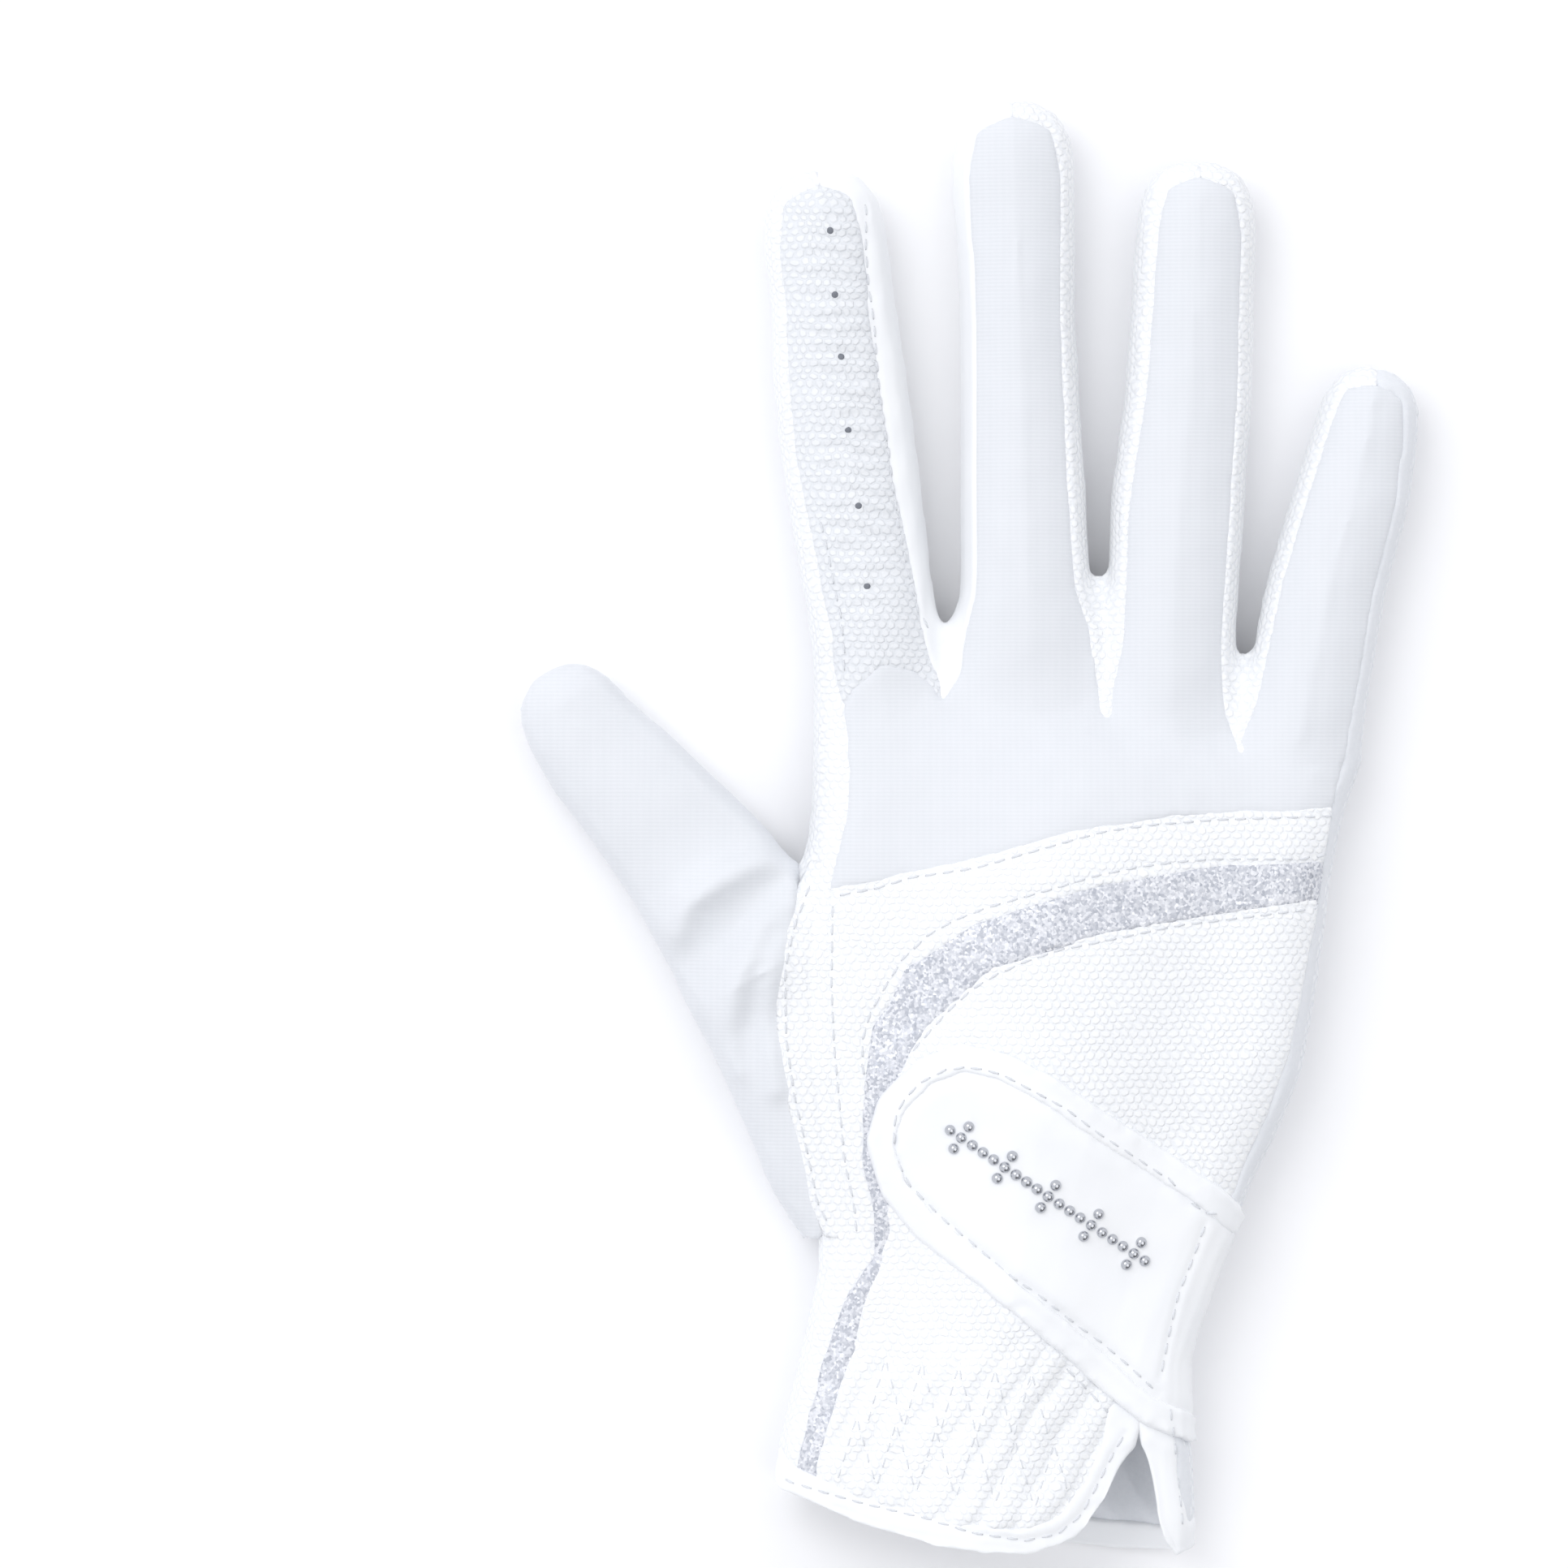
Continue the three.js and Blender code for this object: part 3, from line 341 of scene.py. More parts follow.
@dataclass(frozen=True)
class SmoothLeather(Finish):
    """Smooth synthetic leather with a fine pebble grain, cut for bindings and the strap."""

    colour: str = "#F7F8F9"
    shade: str = "#F1F3F6"
    grain: float = 0.7 * MM
    grain_depth: float = 0.05 * MM
    patch: float = 9 * MM
    smooth: float = 0.37
    dull: float = 0.49

    def make(self) -> Material:
        """Builds the material.

        Returns:
            The material.
        """
        material, tree, place = self.begin()
        fine = {"Vector": place, "Scale": 1 / self.grain}
        pebble = add(tree, "TexVoronoi", fine, feature="SMOOTH_F1")
        slow = {"Vector": place, "Scale": 1 / self.patch, "Detail": 2.0}
        cloud = add(tree, "TexNoise", slow).outputs["Fac"]
        self.end(
            tree,
            {"Specular IOR Level": 0.45},
            tone=(cloud, self.shade, self.colour),
            reliefs=((pebble.outputs["Distance"], self.grain_depth, 0.35),),
            rough=(cloud, self.smooth, self.dull),
        )
        return material


def stripes(length: float) -> float:
    """Gives the scale of a wave texture, whose stripes at a scale of 1 are a 20th of tau apart.

    Args:
        length: The distance from stripe to stripe, in metres.

    Returns:
        The scale.
    """
    return math.tau / (20 * length)


@dataclass(frozen=True)
class StretchKnit(Finish):
    """Polyamide and elastane jersey, knitted in fine cross ribs, with a cool cast and a soft sheen."""

    crest: str = "#E7E9ED"
    # painted shade: the colour of the loops' valleys, a little darker than the crests
    valley: str = "#DEE1E5"
    rib: float = 0.62 * MM  # real courses of 0.3 mm are drawn twice as coarse, so that they show
    wale: float = 1.1 * MM
    depth: float = 0.05 * MM
    streak: float = 3 * MM
    drawn_out: float = 0.12  # streaks are this share of their length wide
    wale_share: float = 0.3
    streak_share: float = 0.45

    def make(self) -> Material:
        """Builds the material.

        Returns:
            The material.
        """
        material, tree, place = self.begin()
        courses = {"Scale": stripes(self.rib), "Distortion": 0.6, "Detail": 1.0, "Detail Scale": 0.12}
        ribs = add(tree, "TexWave", {"Vector": place, **courses}, bands_direction="Y")
        columns = {"Scale": stripes(self.wale), "Distortion": 1.2, "Detail Scale": 0.2}
        wales = add(tree, "TexWave", {"Vector": place, **columns}, bands_direction="X")
        stretched = add(tree, "Mapping", {"Vector": place, "Scale": (1.0, self.drawn_out, 1.0)})
        along = {"Vector": stretched.outputs[0], "Scale": 1 / self.streak, "Detail": 3.0}
        streaks = add(tree, "TexNoise", along)
        both = {"Factor": self.wale_share, 2: ribs.outputs["Fac"], 3: wales.outputs["Fac"]}
        loops = add(tree, "Mix", both, data_type="FLOAT").outputs[0]
        # The colour follows the loops, darker in their valleys as painted shade, and the streaks, a random
        # tone of the yarn.
        uneven = {"Factor": self.streak_share, 2: loops, 3: streaks.outputs["Fac"]}
        tone = add(tree, "Mix", uneven, data_type="FLOAT").outputs[0]
        self.end(
            tree,
            {"Roughness": 0.75, "Specular IOR Level": 0.25, "Sheen Weight": 0.25, "Sheen Roughness": 0.4},
            tone=(tone, self.valley, self.crest),
            reliefs=((loops, self.depth, 0.5),),
        )
        return material


@dataclass(frozen=True)
class EvenFinish(Finish):
    """A finish whose tone, relief and roughness all follow one noise."""

    colour: str = "#FFFFFF"
    shade: str = "#FFFFFF"
    grain: float = 1 * MM
    detail: float = 2.0
    ragged: float = 0.5
    depth: float = 0.0
    strength: float = 0.5
    smooth: float = 0.5
    dull: float = 0.5
    metallic: float = 0.0
    refraction: float = 1.5
    specular: float = 0.5
    sheen: float = 0.0

    def make(self) -> Material:
        """Builds the material.

        Returns:
            The material.
        """
        material, tree, place = self.begin()
        noise = {"Vector": place, "Scale": 1 / self.grain, "Detail": self.detail, "Roughness": self.ragged}
        cloud = add(tree, "TexNoise", noise).outputs["Fac"]
        self.end(
            tree,
            {
                "Metallic": self.metallic,
                "IOR": self.refraction,
                "Specular IOR Level": self.specular,
                "Sheen Weight": self.sheen,
            },
            tone=(cloud, self.shade, self.colour),
            reliefs=((cloud, self.depth, self.strength),) if self.depth else (),
            rough=(cloud, self.smooth, self.dull),
        )
        return material


@dataclass(frozen=True)
class BrushedBacking(EvenFinish):
    """Brushed polyester tricot, the knitted back of the leather, soft and matt."""

    colour: str = "#EDEFF2"
    shade: str = "#E0E3E8"
    grain: float = 0.8 * MM
    detail: float = 4.0
    ragged: float = 0.7
    depth: float = 0.1 * MM
    smooth: float = 0.9
    dull: float = 0.9
    specular: float = 0.2
    sheen: float = 0.2


@dataclass(frozen=True)
class Thread(EvenFinish):
    """Bonded polyester sewing thread, twisted, painted a shade darker than the leather round it as painted
    shade of its stitch holes.
    """

    # both greys are painted shade of the stitch holes; the noise between them is a random tone of the twist
    colour: str = "#E8EAED"
    shade: str = "#D2D5DA"
    grain: float = 0.4 * MM
    detail: float = 1.0
    depth: float = 0.05 * MM
    strength: float = 1.0
    smooth: float = 0.55
    dull: float = 0.55
    refraction: float = 1.55


@dataclass(frozen=True)
class PolishedSteel(EvenFinish):
    """Polished stainless steel, pressed into small domes that mirror the room, with faint wear."""

    colour: str = "#C4C6CB"
    shade: str = "#C4C6CB"
    grain: float = 0.8 * MM
    smooth: float = 0.08
    dull: float = 0.2
    metallic: float = 1.0


@dataclass(frozen=True)
class DarkHole(EvenFinish):
    """The shaded inside of a punched hole: the knitted backing seen in its own shadow."""

    colour: str = "#8A8E96"
    shade: str = "#6A6D75"
    grain: float = 0.3 * MM
    smooth: float = 0.9
    dull: float = 0.9


@dataclass(frozen=True)
class PaleFloor(EvenFinish):
    """Matt white studio floor, on which only soft shadows show."""

    colour: str = "#FBFBFC"
    shade: str = "#FBFBFC"
    grain: float = 1 / 3
    smooth: float = 0.85
    dull: float = 0.95
    specular: float = 0.1


@dataclass(frozen=True)
class GlitterCloth(Finish):
    """Glitter fabric: small cut flakes in a clear coat on cloth, each flake turned its own way."""

    # the flakes' greys run between these two: painted shade at the dark end, painted glints at the light
    # end, round the cloth's own grey
    dark: str = "#B4B8C2"
    light: str = "#F2F3F7"
    flake: float = 0.42 * MM
    depth: float = 0.1 * MM
    shine: float = 0.55

    def make(self) -> Material:
        """Builds the material.

        Returns:
            The material.
        """
        material, tree, place = self.begin()
        flakes = add(tree, "TexVoronoi", {"Vector": place, "Scale": 1 / self.flake})
        # each flake gets a random grey between dark and light: painted glints and painted shade of flakes
        # turned to and from the light
        flake_glint_and_shade, turn, wear = add(tree, "SeparateColor", {0: flakes.outputs["Color"]}).outputs
        few = {"Value": turn, "From Min": 0.6, "From Max": 0.65, "To Min": 0.0, "To Max": self.shine}
        self.end(
            tree,
            {"Metallic": add(tree, "MapRange", few).outputs[0]},
            tone=(flake_glint_and_shade, self.dark, self.light),
            reliefs=((turn, self.depth, 0.9),),
            rough=(wear, 0.3, 0.65),
        )
        return material


def join(piece: Object, nodes: Sequence[str] = ()) -> Object:
    """Ties a finished piece to the glove.

    Args:
        piece: The piece.
        nodes: The solids that it takes the place of.

    Returns:
        The piece.
    """
    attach(piece, "root")
    if nodes:
        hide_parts(*nodes)
    LOG.info("%s: %d faces", piece.name, len(piece.data.polygons))
    return piece


def show(name: str, mesh: Mesh, finish: Material) -> Object:
    """Puts a mesh in the scene as a smooth piece with its finish.

    Args:
        name: The name of the piece.
        mesh: Its mesh, in the frame of the glove.
        finish: Its material.

    Returns:
        The object, at the origin.
    """
    mesh.polygons.foreach_set("use_smooth", [True] * len(mesh.polygons))
    mesh.materials.clear()
    mesh.materials.append(finish)
    piece = bpy.data.objects.new(name, mesh)
    bpy.context.scene.collection.objects.link(piece)
    return piece


def closed(name: str, shape: bmesh.types.BMesh) -> Mesh:
    """Turns a finished shape into a mesh.

    Args:
        name: The name of the mesh.
        shape: The shape, which is freed.

    Returns:
        The mesh.
    """
    mesh = bpy.data.meshes.new(name)
    shape.to_mesh(mesh)
    shape.free()
    return mesh


def skin(nodes: Sequence[str], voxel: float, swell: float) -> Mesh:
    """Makes one even skin round copies of solids.

    Args:
        nodes: Names of the solids.
        voxel: Size of the skin's faces, in metres.
        swell: How far a solid's corners move out first, so that seams close.

    Returns:
        The mesh of the skin.
    """
    shape = bmesh.new()
    for node in nodes:
        shape.from_mesh(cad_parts[node].data)
    bmesh.ops.remove_doubles(shape, verts=shape.verts, dist=MERGE)
    bmesh.ops.recalc_face_normals(shape, faces=shape.faces)
    worker = bpy.data.objects.new("worker", closed("worker", shape))
    bpy.context.scene.collection.objects.link(worker)
    swelling = worker.modifiers.new("swell", "DISPLACE")
    swelling.strength = swell
    swelling.mid_level = 0.0
    blocks = worker.modifiers.new("skin", "REMESH")
    blocks.mode = "VOXEL"
    blocks.voxel_size = voxel
    ready = worker.evaluated_get(bpy.context.evaluated_depsgraph_get())
    made = bpy.data.meshes.new_from_object(ready)
    bpy.data.objects.remove(worker)
    return made


def places(mesh: Mesh) -> np.ndarray:
    """Reads where a mesh's vertices are.

    Args:
        mesh: The mesh.

    Returns:
        Rows of x, y and z.
    """
    flat = np.empty(len(mesh.vertices) * 3)
    mesh.vertices.foreach_get("co", flat)
    return flat.reshape(-1, 3)


def put(mesh: Mesh, points: np.ndarray) -> None:
    """Moves a mesh's vertices.

    Args:
        mesh: The mesh.
        points: Rows of x, y and z.
    """
    mesh.vertices.foreach_set("co", points.ravel())
    mesh.update()


def facing(mesh: Mesh) -> np.ndarray:
    """Reads the normals of a mesh's vertices.

    Args:
        mesh: The mesh.

    Returns:
        Rows of x, y and z.
    """
    flat = np.empty(len(mesh.vertices) * 3)
    mesh.vertex_normals.foreach_get("vector", flat)
    return flat.reshape(-1, 3)


def relaxed(mesh: Mesh, points: np.ndarray, rounds: int, keep: float) -> np.ndarray:
    """Evens out a surface by moving each point towards the middle of its neighbours.

    Args:
        mesh: The mesh, for its edges.
        points: Where its vertices are.
        rounds: How often they move.
        keep: 0 lets the surface shrink. A small share moves each point out again, so that only
            what is narrower than that share asks goes.

    Returns:
        The new places.
    """
    pairs = np.empty(len(mesh.edges) * 2, dtype=np.int32)
    mesh.edges.foreach_get("vertices", pairs)
    first, second = pairs.reshape(-1, 2).T
    size = len(points)
    count = np.maximum(np.bincount(pairs, minlength=size), 1)
    inward = 0.6
    shares = (inward,) if keep == 0 else (inward, 1 / (keep - 1 / inward))
    columns = [points[:, axis].copy() for axis in range(3)]
    for _ in range(rounds):
        for share in shares:
            for column in columns:
                total = np.bincount(first, weights=column[second], minlength=size)
                total += np.bincount(second, weights=column[first], minlength=size)
                column += share * (total / count - column)
    return np.stack(columns, axis=1)


def gap(plan: np.ndarray, line: Line) -> np.ndarray:
    """Measures how far points on the plan lie from a line.

    Args:
        plan: Rows of x and y, in millimetres.
        line: The corners of the line.

    Returns:
        The distance of each point, in millimetres.
    """
    best = np.full(len(plan), np.inf)
    corners = np.array(line)
    for start, end in zip(corners[:-1], corners[1:]):
        span = end - start
        along = np.clip(((plan - start) @ span) / (span @ span), 0.0, 1.0)
        best = np.minimum(best, np.linalg.norm(plan - start - along[:, None] * span, axis=1))
    return best


def step(value: np.ndarray, low: float, high: float) -> np.ndarray:
    """Rises smoothly from 0 to 1.

    Args:
        value: The values.
        low: Where the rise starts.
        high: Where it ends.

    Returns:
        The share at each value.
    """
    share = np.clip((value - low) / (high - low), 0.0, 1.0)
    return share * share * (3 - 2 * share)


def waver(plan: np.ndarray, length: float) -> np.ndarray:
    """Gives a slow, uneven rise and fall between about -1 and 1 over the plan.

    Args:
        plan: Rows of x and y, in millimetres.
        length: The main wavelength, in millimetres.

    Returns:
        The value at each point.
    """
    waves = ((0.3, 1.0, 0.4), (1.7, 0.73, 1.9), (2.6, 1.31, 4.2), (4.1, 1.83, 2.7), (5.2, 0.57, 5.5))
    lively = 1.6  # the waves seldom add up, so their mean is raised
    total = np.zeros(len(plan))
    for angle, pace, phase in waves:
        along = plan[:, 0] * math.cos(angle) + plan[:, 1] * math.sin(angle)
        total += np.sin(math.tau * pace * along / length + phase)
    return total / len(waves) * lively


@dataclass(frozen=True)
class Crease:
    """A ridge, or with a negative height a groove, along a line of the plan."""

    line: Line
    height: float
    width: float

    def rise(self, plan: np.ndarray) -> np.ndarray:
        """Gives the height at points of the plan, in millimetres.

        Args:
            plan: Rows of x and y, in millimetres.

        Returns:
            The height at each point.
        """
        corners = np.array(self.line)
        reach = 3 * self.width  # farther off, the ridge has died down
        near = np.all((plan > corners.min(0) - reach) & (plan < corners.max(0) + reach), axis=1)
        total = np.zeros(len(plan))
        if near.any():
            total[near] = self.height * np.exp(-((gap(plan[near], self.line) / self.width) ** 2))
        return total


@dataclass(frozen=True)
class Gathers:
    """The cuff's leather, pulled together by elastic into slanting puffs with sharp valleys."""

    top: float = -82.0
    full: float = -91.0
    pitch: float = 6.3
    slant: float = 0.6
    height: float = 1.05
    valley: float = 0.6
    drift: float = 1.1
    drift_length: float = 23.0
    uneven: float = 0.25
    uneven_length: float = 17.0

    def rise(self, plan: np.ndarray) -> np.ndarray:
        """Gives the height of the puffs at points of the plan, in millimetres.

        Args:
            plan: Rows of x and y, in millimetres.

        Returns:
            The height at each point.
        """
        drift = self.drift * waver(plan, self.drift_length)
        across = plan[:, 0] - self.slant * plan[:, 1] + drift
        puff = np.abs(np.sin(math.pi * across / self.pitch))
        patchy = 1 - self.uneven + self.uneven * waver(plan, self.uneven_length)
        strength = step(-plan[:, 1], -self.top, -self.full) * patchy
        return self.height * (puff - self.valley) * strength


@dataclass(frozen=True)
class Puckers:
    """Short cross wrinkles on the back of the forefinger, between its vent holes."""

    pitch: float = 3.2
    height: float = 0.34
    reach: float = 7.5
    low: float = 30.0
    top: float = 108.0
    slant: float = 0.12
    drift: float = 0.8
    drift_length: float = 11.0
    uneven: float = 0.4
    uneven_length: float = 8.0

    def rise(self, plan: np.ndarray) -> np.ndarray:
        """Gives the height of the wrinkles at points of the plan, in millimetres.

        Args:
            plan: Rows of x and y, in millimetres.

        Returns:
            The height at each point.
        """
        total = np.zeros(len(plan))
        near = (plan[:, 1] > self.low) & (plan[:, 1] < self.top) & (plan[:, 0] < 0)
        here = plan[near]
        away = gap(here, VENTS)
        drift = self.drift * waver(here, self.drift_length)
        along = here[:, 1] + self.slant * here[:, 0] + drift
        patchy = 1 - self.uneven + self.uneven * waver(here, self.uneven_length)
        wave = np.sin(math.tau * along / self.pitch) * patchy
        total[near] = self.height * wave * (1 - step(away, self.reach * 0.5, self.reach))
        return total


@dataclass(frozen=True)
class Slack:
    """The slow rise and fall of soft goods that nothing fills."""

    height: float = 0.22
    length: float = 34.0
    ripple: float = 0.4
    finer: float = 3.0

    def rise(self, plan: np.ndarray) -> np.ndarray:
        """Gives the height at points of the plan, in millimetres.

        Args:
            plan: Rows of x and y, in millimetres.

        Returns:
            The height at each point.
        """
        ripple = self.ripple * waver(plan[:, ::-1], self.length / self.finer)
        return self.height * (waver(plan, self.length) + ripple)


LINED = ("fine_leather", "finger", "palm", "glitter")  # finishes with a knitted back
Relief = Crease | Gathers | Puckers | Slack


def pressed(depth: float, *lines: Line, width: float = 0.7) -> list[Crease]:
    """Lists the grooves that rows of thread pull into the leather.

    Args:
        depth: How deep they are, in millimetres.
        *lines: The sewn lines.
        width: Half the width of a groove, in millimetres.

    Returns:
        One groove for each line.
    """
    return [Crease(line, -depth, width) for line in lines]


@dataclass
class RoundedForm:
    """The whole glove as one closed skin, from which every panel takes its roundness."""

    voxel: float = 1.2 * MM
    swell: float = 0.3 * MM
    rounds: int = 900
    keep: float = 0.004
    neighbours: int = 5
    closest: float = 0.1 * MM  # added to each distance, so that no weight is endless
    tree: KDTree = field(init=False)
    shifts: np.ndarray = field(init=False)
    normals: np.ndarray = field(init=False)

    def build(self, nodes: Sequence[str]) -> None:
        """Finds how far each part of the skin moves when it is evened out.

        Args:
            nodes: The solids that the skin closes over.
        """
        mesh = skin(nodes, self.voxel, self.swell)
        points = places(mesh)
        even = relaxed(mesh, points, self.rounds, self.keep)
        self.shifts = even - points
        put(mesh, even)
        self.normals = facing(mesh)
        self.tree = KDTree(len(points))
        for number, point in enumerate(points):
            self.tree.insert(point, number)
        self.tree.balance()
        bpy.data.meshes.remove(mesh)
        LOG.info("rounded form: %d points, largest shift %.2f mm", len(points), abs(self.shifts).max() / MM)

    def round_off(self, points: np.ndarray, thinner: float) -> np.ndarray:
        """Moves points with the skin next to them, and back in by what they were swollen.

        Only the wall's own faces go back in. Its edges keep the swelling, so that seams stay closed.

        Args:
            points: Rows of x, y and z.
            thinner: How far the wall's faces move in, in metres.

        Returns:
            The moved rows.
        """
        found = [self.tree.find_n(point, self.neighbours) for point in points]
        near = np.array([[number for _, number, _ in row] for row in found])
        away = np.array([[distance for _, _, distance in row] for row in found])
        weight = 1 / (away + self.closest)
        weight /= weight.sum(axis=1, keepdims=True)
        moves = self.shifts[near] - self.normals[near] * thinner
        return points + (moves * weight[:, :, None]).sum(axis=1)


@dataclass(frozen=True)
class Panel:
    """One sewn panel: the solid it stands for, its finish and how finely it is drawn."""

    node: str
    slot: str
    finish: str
    side: Side
    voxel: float = 0.65 * MM
    soften: int = 4
    swell: float = 0.85 * MM
    thinner: float = 0.6 * MM
    inward: float = 0.35

    def build(
        self,
        form: RoundedForm,
        reliefs: Sequence[Relief],
        finishes: Finishes,
    ) -> Object:
        """Builds the panel's piece.

        Args:
            form: The rounded form of the glove.
            reliefs: What raises or sinks this panel's side.
            finishes: The materials by name.

        Returns:
            The piece.
        """
        coarser = 1.0
        mesh = skin([self.node], self.voxel * coarser, self.swell)
        points = relaxed(mesh, form.round_off(places(mesh), self.thinner), self.soften, 0.0)
        put(mesh, points)
        upright = np.abs(facing(mesh)[:, 2])
        plan = points[:, :2] / MM
        rise = sum((relief.rise(plan) for relief in reliefs), np.zeros(len(plan)))
        points[:, 2] += self.side.value * rise * MM * upright
        points[:, 2] = np.maximum(points[:, 2], 0.0)
        put(mesh, points)
        piece = show(f"soft_{self.node}", mesh, finishes[self.finish])
        if self.finish in LINED:
            self.line(mesh, finishes["backing"])
        return join(piece, (self.node,))

    def line(self, mesh: Mesh, backing: Material) -> None:
        """Gives the faces that look into the glove the knitted back of the leather.

        Args:
            mesh: The panel's mesh.
            backing: The material of the back.
        """
        normals = np.empty(len(mesh.polygons) * 3)
        mesh.polygons.foreach_get("normal", normals)
        inside = normals.reshape(-1, 3)[:, 2] * self.side.value < -self.inward
        mesh.materials.append(backing)
        mesh.polygons.foreach_set("material_index", inside.astype(np.int32))


@dataclass
class SewnGlove:
    """The sewn panels, bindings and strap of the glove."""

    panels: tuple[Panel, ...] = (
        Panel("back_panel", "knit", "knit", Side.BACK),
        # the forefinger's back takes the darker copy of the embossed leather, which is painted shade
        Panel("index_back", "leather", "finger", Side.BACK, 0.55 * MM),
        Panel("fourchette_index_middle", "smooth_leather", "smooth", Side.BACK),
        Panel("fourchette_middle_ring", "leather", "fine_leather", Side.BACK),
        Panel("fourchette_ring_little", "leather", "fine_leather", Side.BACK),
        Panel("thumb_side_strip", "leather", "fine_leather", Side.BACK),
        Panel("knuckle_band", "leather", "fine_leather", Side.BACK, 0.55 * MM),
        Panel("glitter_stripe", "glitter", "glitter", Side.BACK, 0.55 * MM),
        Panel("wrist_back_panel", "leather", "fine_leather", Side.BACK, 0.6 * MM),
        Panel("thumb_back", "knit", "knit", Side.BACK, swell=0.65 * MM, thinner=0.4 * MM),
        Panel("palm_panel", "palm_leather", "palm", Side.PALM, 0.7 * MM),
        Panel("index_rein_patch", "palm_leather", "palm", Side.PALM),
        Panel("little_finger_patch", "palm_leather", "palm", Side.PALM),
        Panel("thumb_palm", "palm_leather", "palm", Side.PALM),
        Panel("back_cuff_binding", "smooth_leather", "smooth", Side.BACK, 0.45 * MM, 8),
        Panel("palm_cuff_binding", "smooth_leather", "smooth", Side.PALM, 0.45 * MM, 8),
        Panel("closure_strap", "smooth_leather", "smooth", Side.BACK, 0.5 * MM),
        Panel("strap_binding", "smooth_leather", "smooth", Side.BACK, 0.45 * MM, 8),
    )

    def reliefs(self, panel: Panel) -> list[Relief]:
        """Lists what raises or sinks a panel.

        Args:
            panel: The panel.

        Returns:
            Its creases, gathers and puckers.
        """
        rows: dict[str, list[Relief]] = {
            "index_back": [Puckers(), *pressed(0.3, INDEX_RIGHT, width=0.8)],
            "fourchette_index_middle": pressed(0.3, INDEX_RIGHT, width=0.8),
            "thumb_side_strip": pressed(0.25, STRIP_TOP, STRIP_SEAM),
            "knuckle_band": [*pressed(0.22, BAND_TOP, STRIPE_OUTER), *pressed(0.25, STRIP_SEAM)],
            "wrist_back_panel": [Gathers(), *pressed(0.22, STRIPE_INNER), *pressed(0.3, SHEET_EDGE)],
            "thumb_back": [Crease(line, *size) for line, size in zip(THUMB_FOLDS, FOLD_SIZES)],
            "closure_strap": pressed(0.28, STRAP_UPPER, STRAP_LOWER, STRAP_END),
            "back_cuff_binding": pressed(0.25, CUFF_ROW),
            "palm_panel": [Gathers(slant=-0.42, height=0.8)],
        }
        return [*rows.get(panel.node, []), Slack()]

    def build(self, finishes: Finishes) -> Pieces:
        """Builds every panel.

        Args:
            finishes: The materials by name.

        Returns:
            The pieces by the node that each stands for.
        """
        form = RoundedForm()
        form.build([panel.node for panel in self.panels])
        return {panel.node: panel.build(form, self.reliefs(panel), finishes) for panel in self.panels}


@dataclass
class Ground:
    """Finds the dressed surface above or below a point of the plan."""

    pieces: Sequence[Object]
    trees: list[BVHTree] = field(init=False)

    def __post_init__(self) -> None:
        """Keeps one search tree for each piece."""
        ready = bpy.context.evaluated_depsgraph_get()
        self.trees = [BVHTree.FromObject(piece, ready) for piece in self.pieces]

    def find(self, x: float, y: float, side: Side) -> tuple[Vector, Vector] | None:
        """Finds the outermost surface at a point of the plan.

        Args:
            x: Place across, in millimetres.
            y: Place along, in millimetres.
            side: The side from which the glove is looked at.

        Returns:
            The place on the surface and its normal, or None past the glove's edge.
        """
        start = Vector((x * MM, y * MM, FAR * side.value))
        ray = Vector((0, 0, -side.value))
        hits = [tree.ray_cast(start, ray) for tree in self.trees]
        found = [(place, normal) for place, normal, number, _ in hits if number is not None]
        if not found:
            return None
        return max(found, key=lambda hit: hit[0].z * side.value)


def rim(piece: Object, inset: float, every: float = 5.0) -> tuple[Line, Line]:
    """Finds the left and right edge of a piece on the plan, set in a little.

    Args:
        piece: The piece.
        inset: How far inside the edge the lines run, in millimetres.
        every: Distance from corner to corner of the lines, in millimetres.

    Returns:
        The left and the right line, from the top down.
    """
    band = 0.6  # half the height of the slice that gives each corner, in millimetres
    plan = places(piece.data)[:, :2] / MM
    top, low = plan[:, 1].max() - inset, plan[:, 1].min() + inset
    left, right = [], []
    for level in np.linspace(top, low, max(2, round((top - low) / every))):
        across = plan[np.abs(plan[:, 1] - level) < band, 0]
        left.append((float(across.min()) + inset, float(level)))
        right.append((float(across.max()) - inset, float(level)))
    return tuple(left), tuple(right)


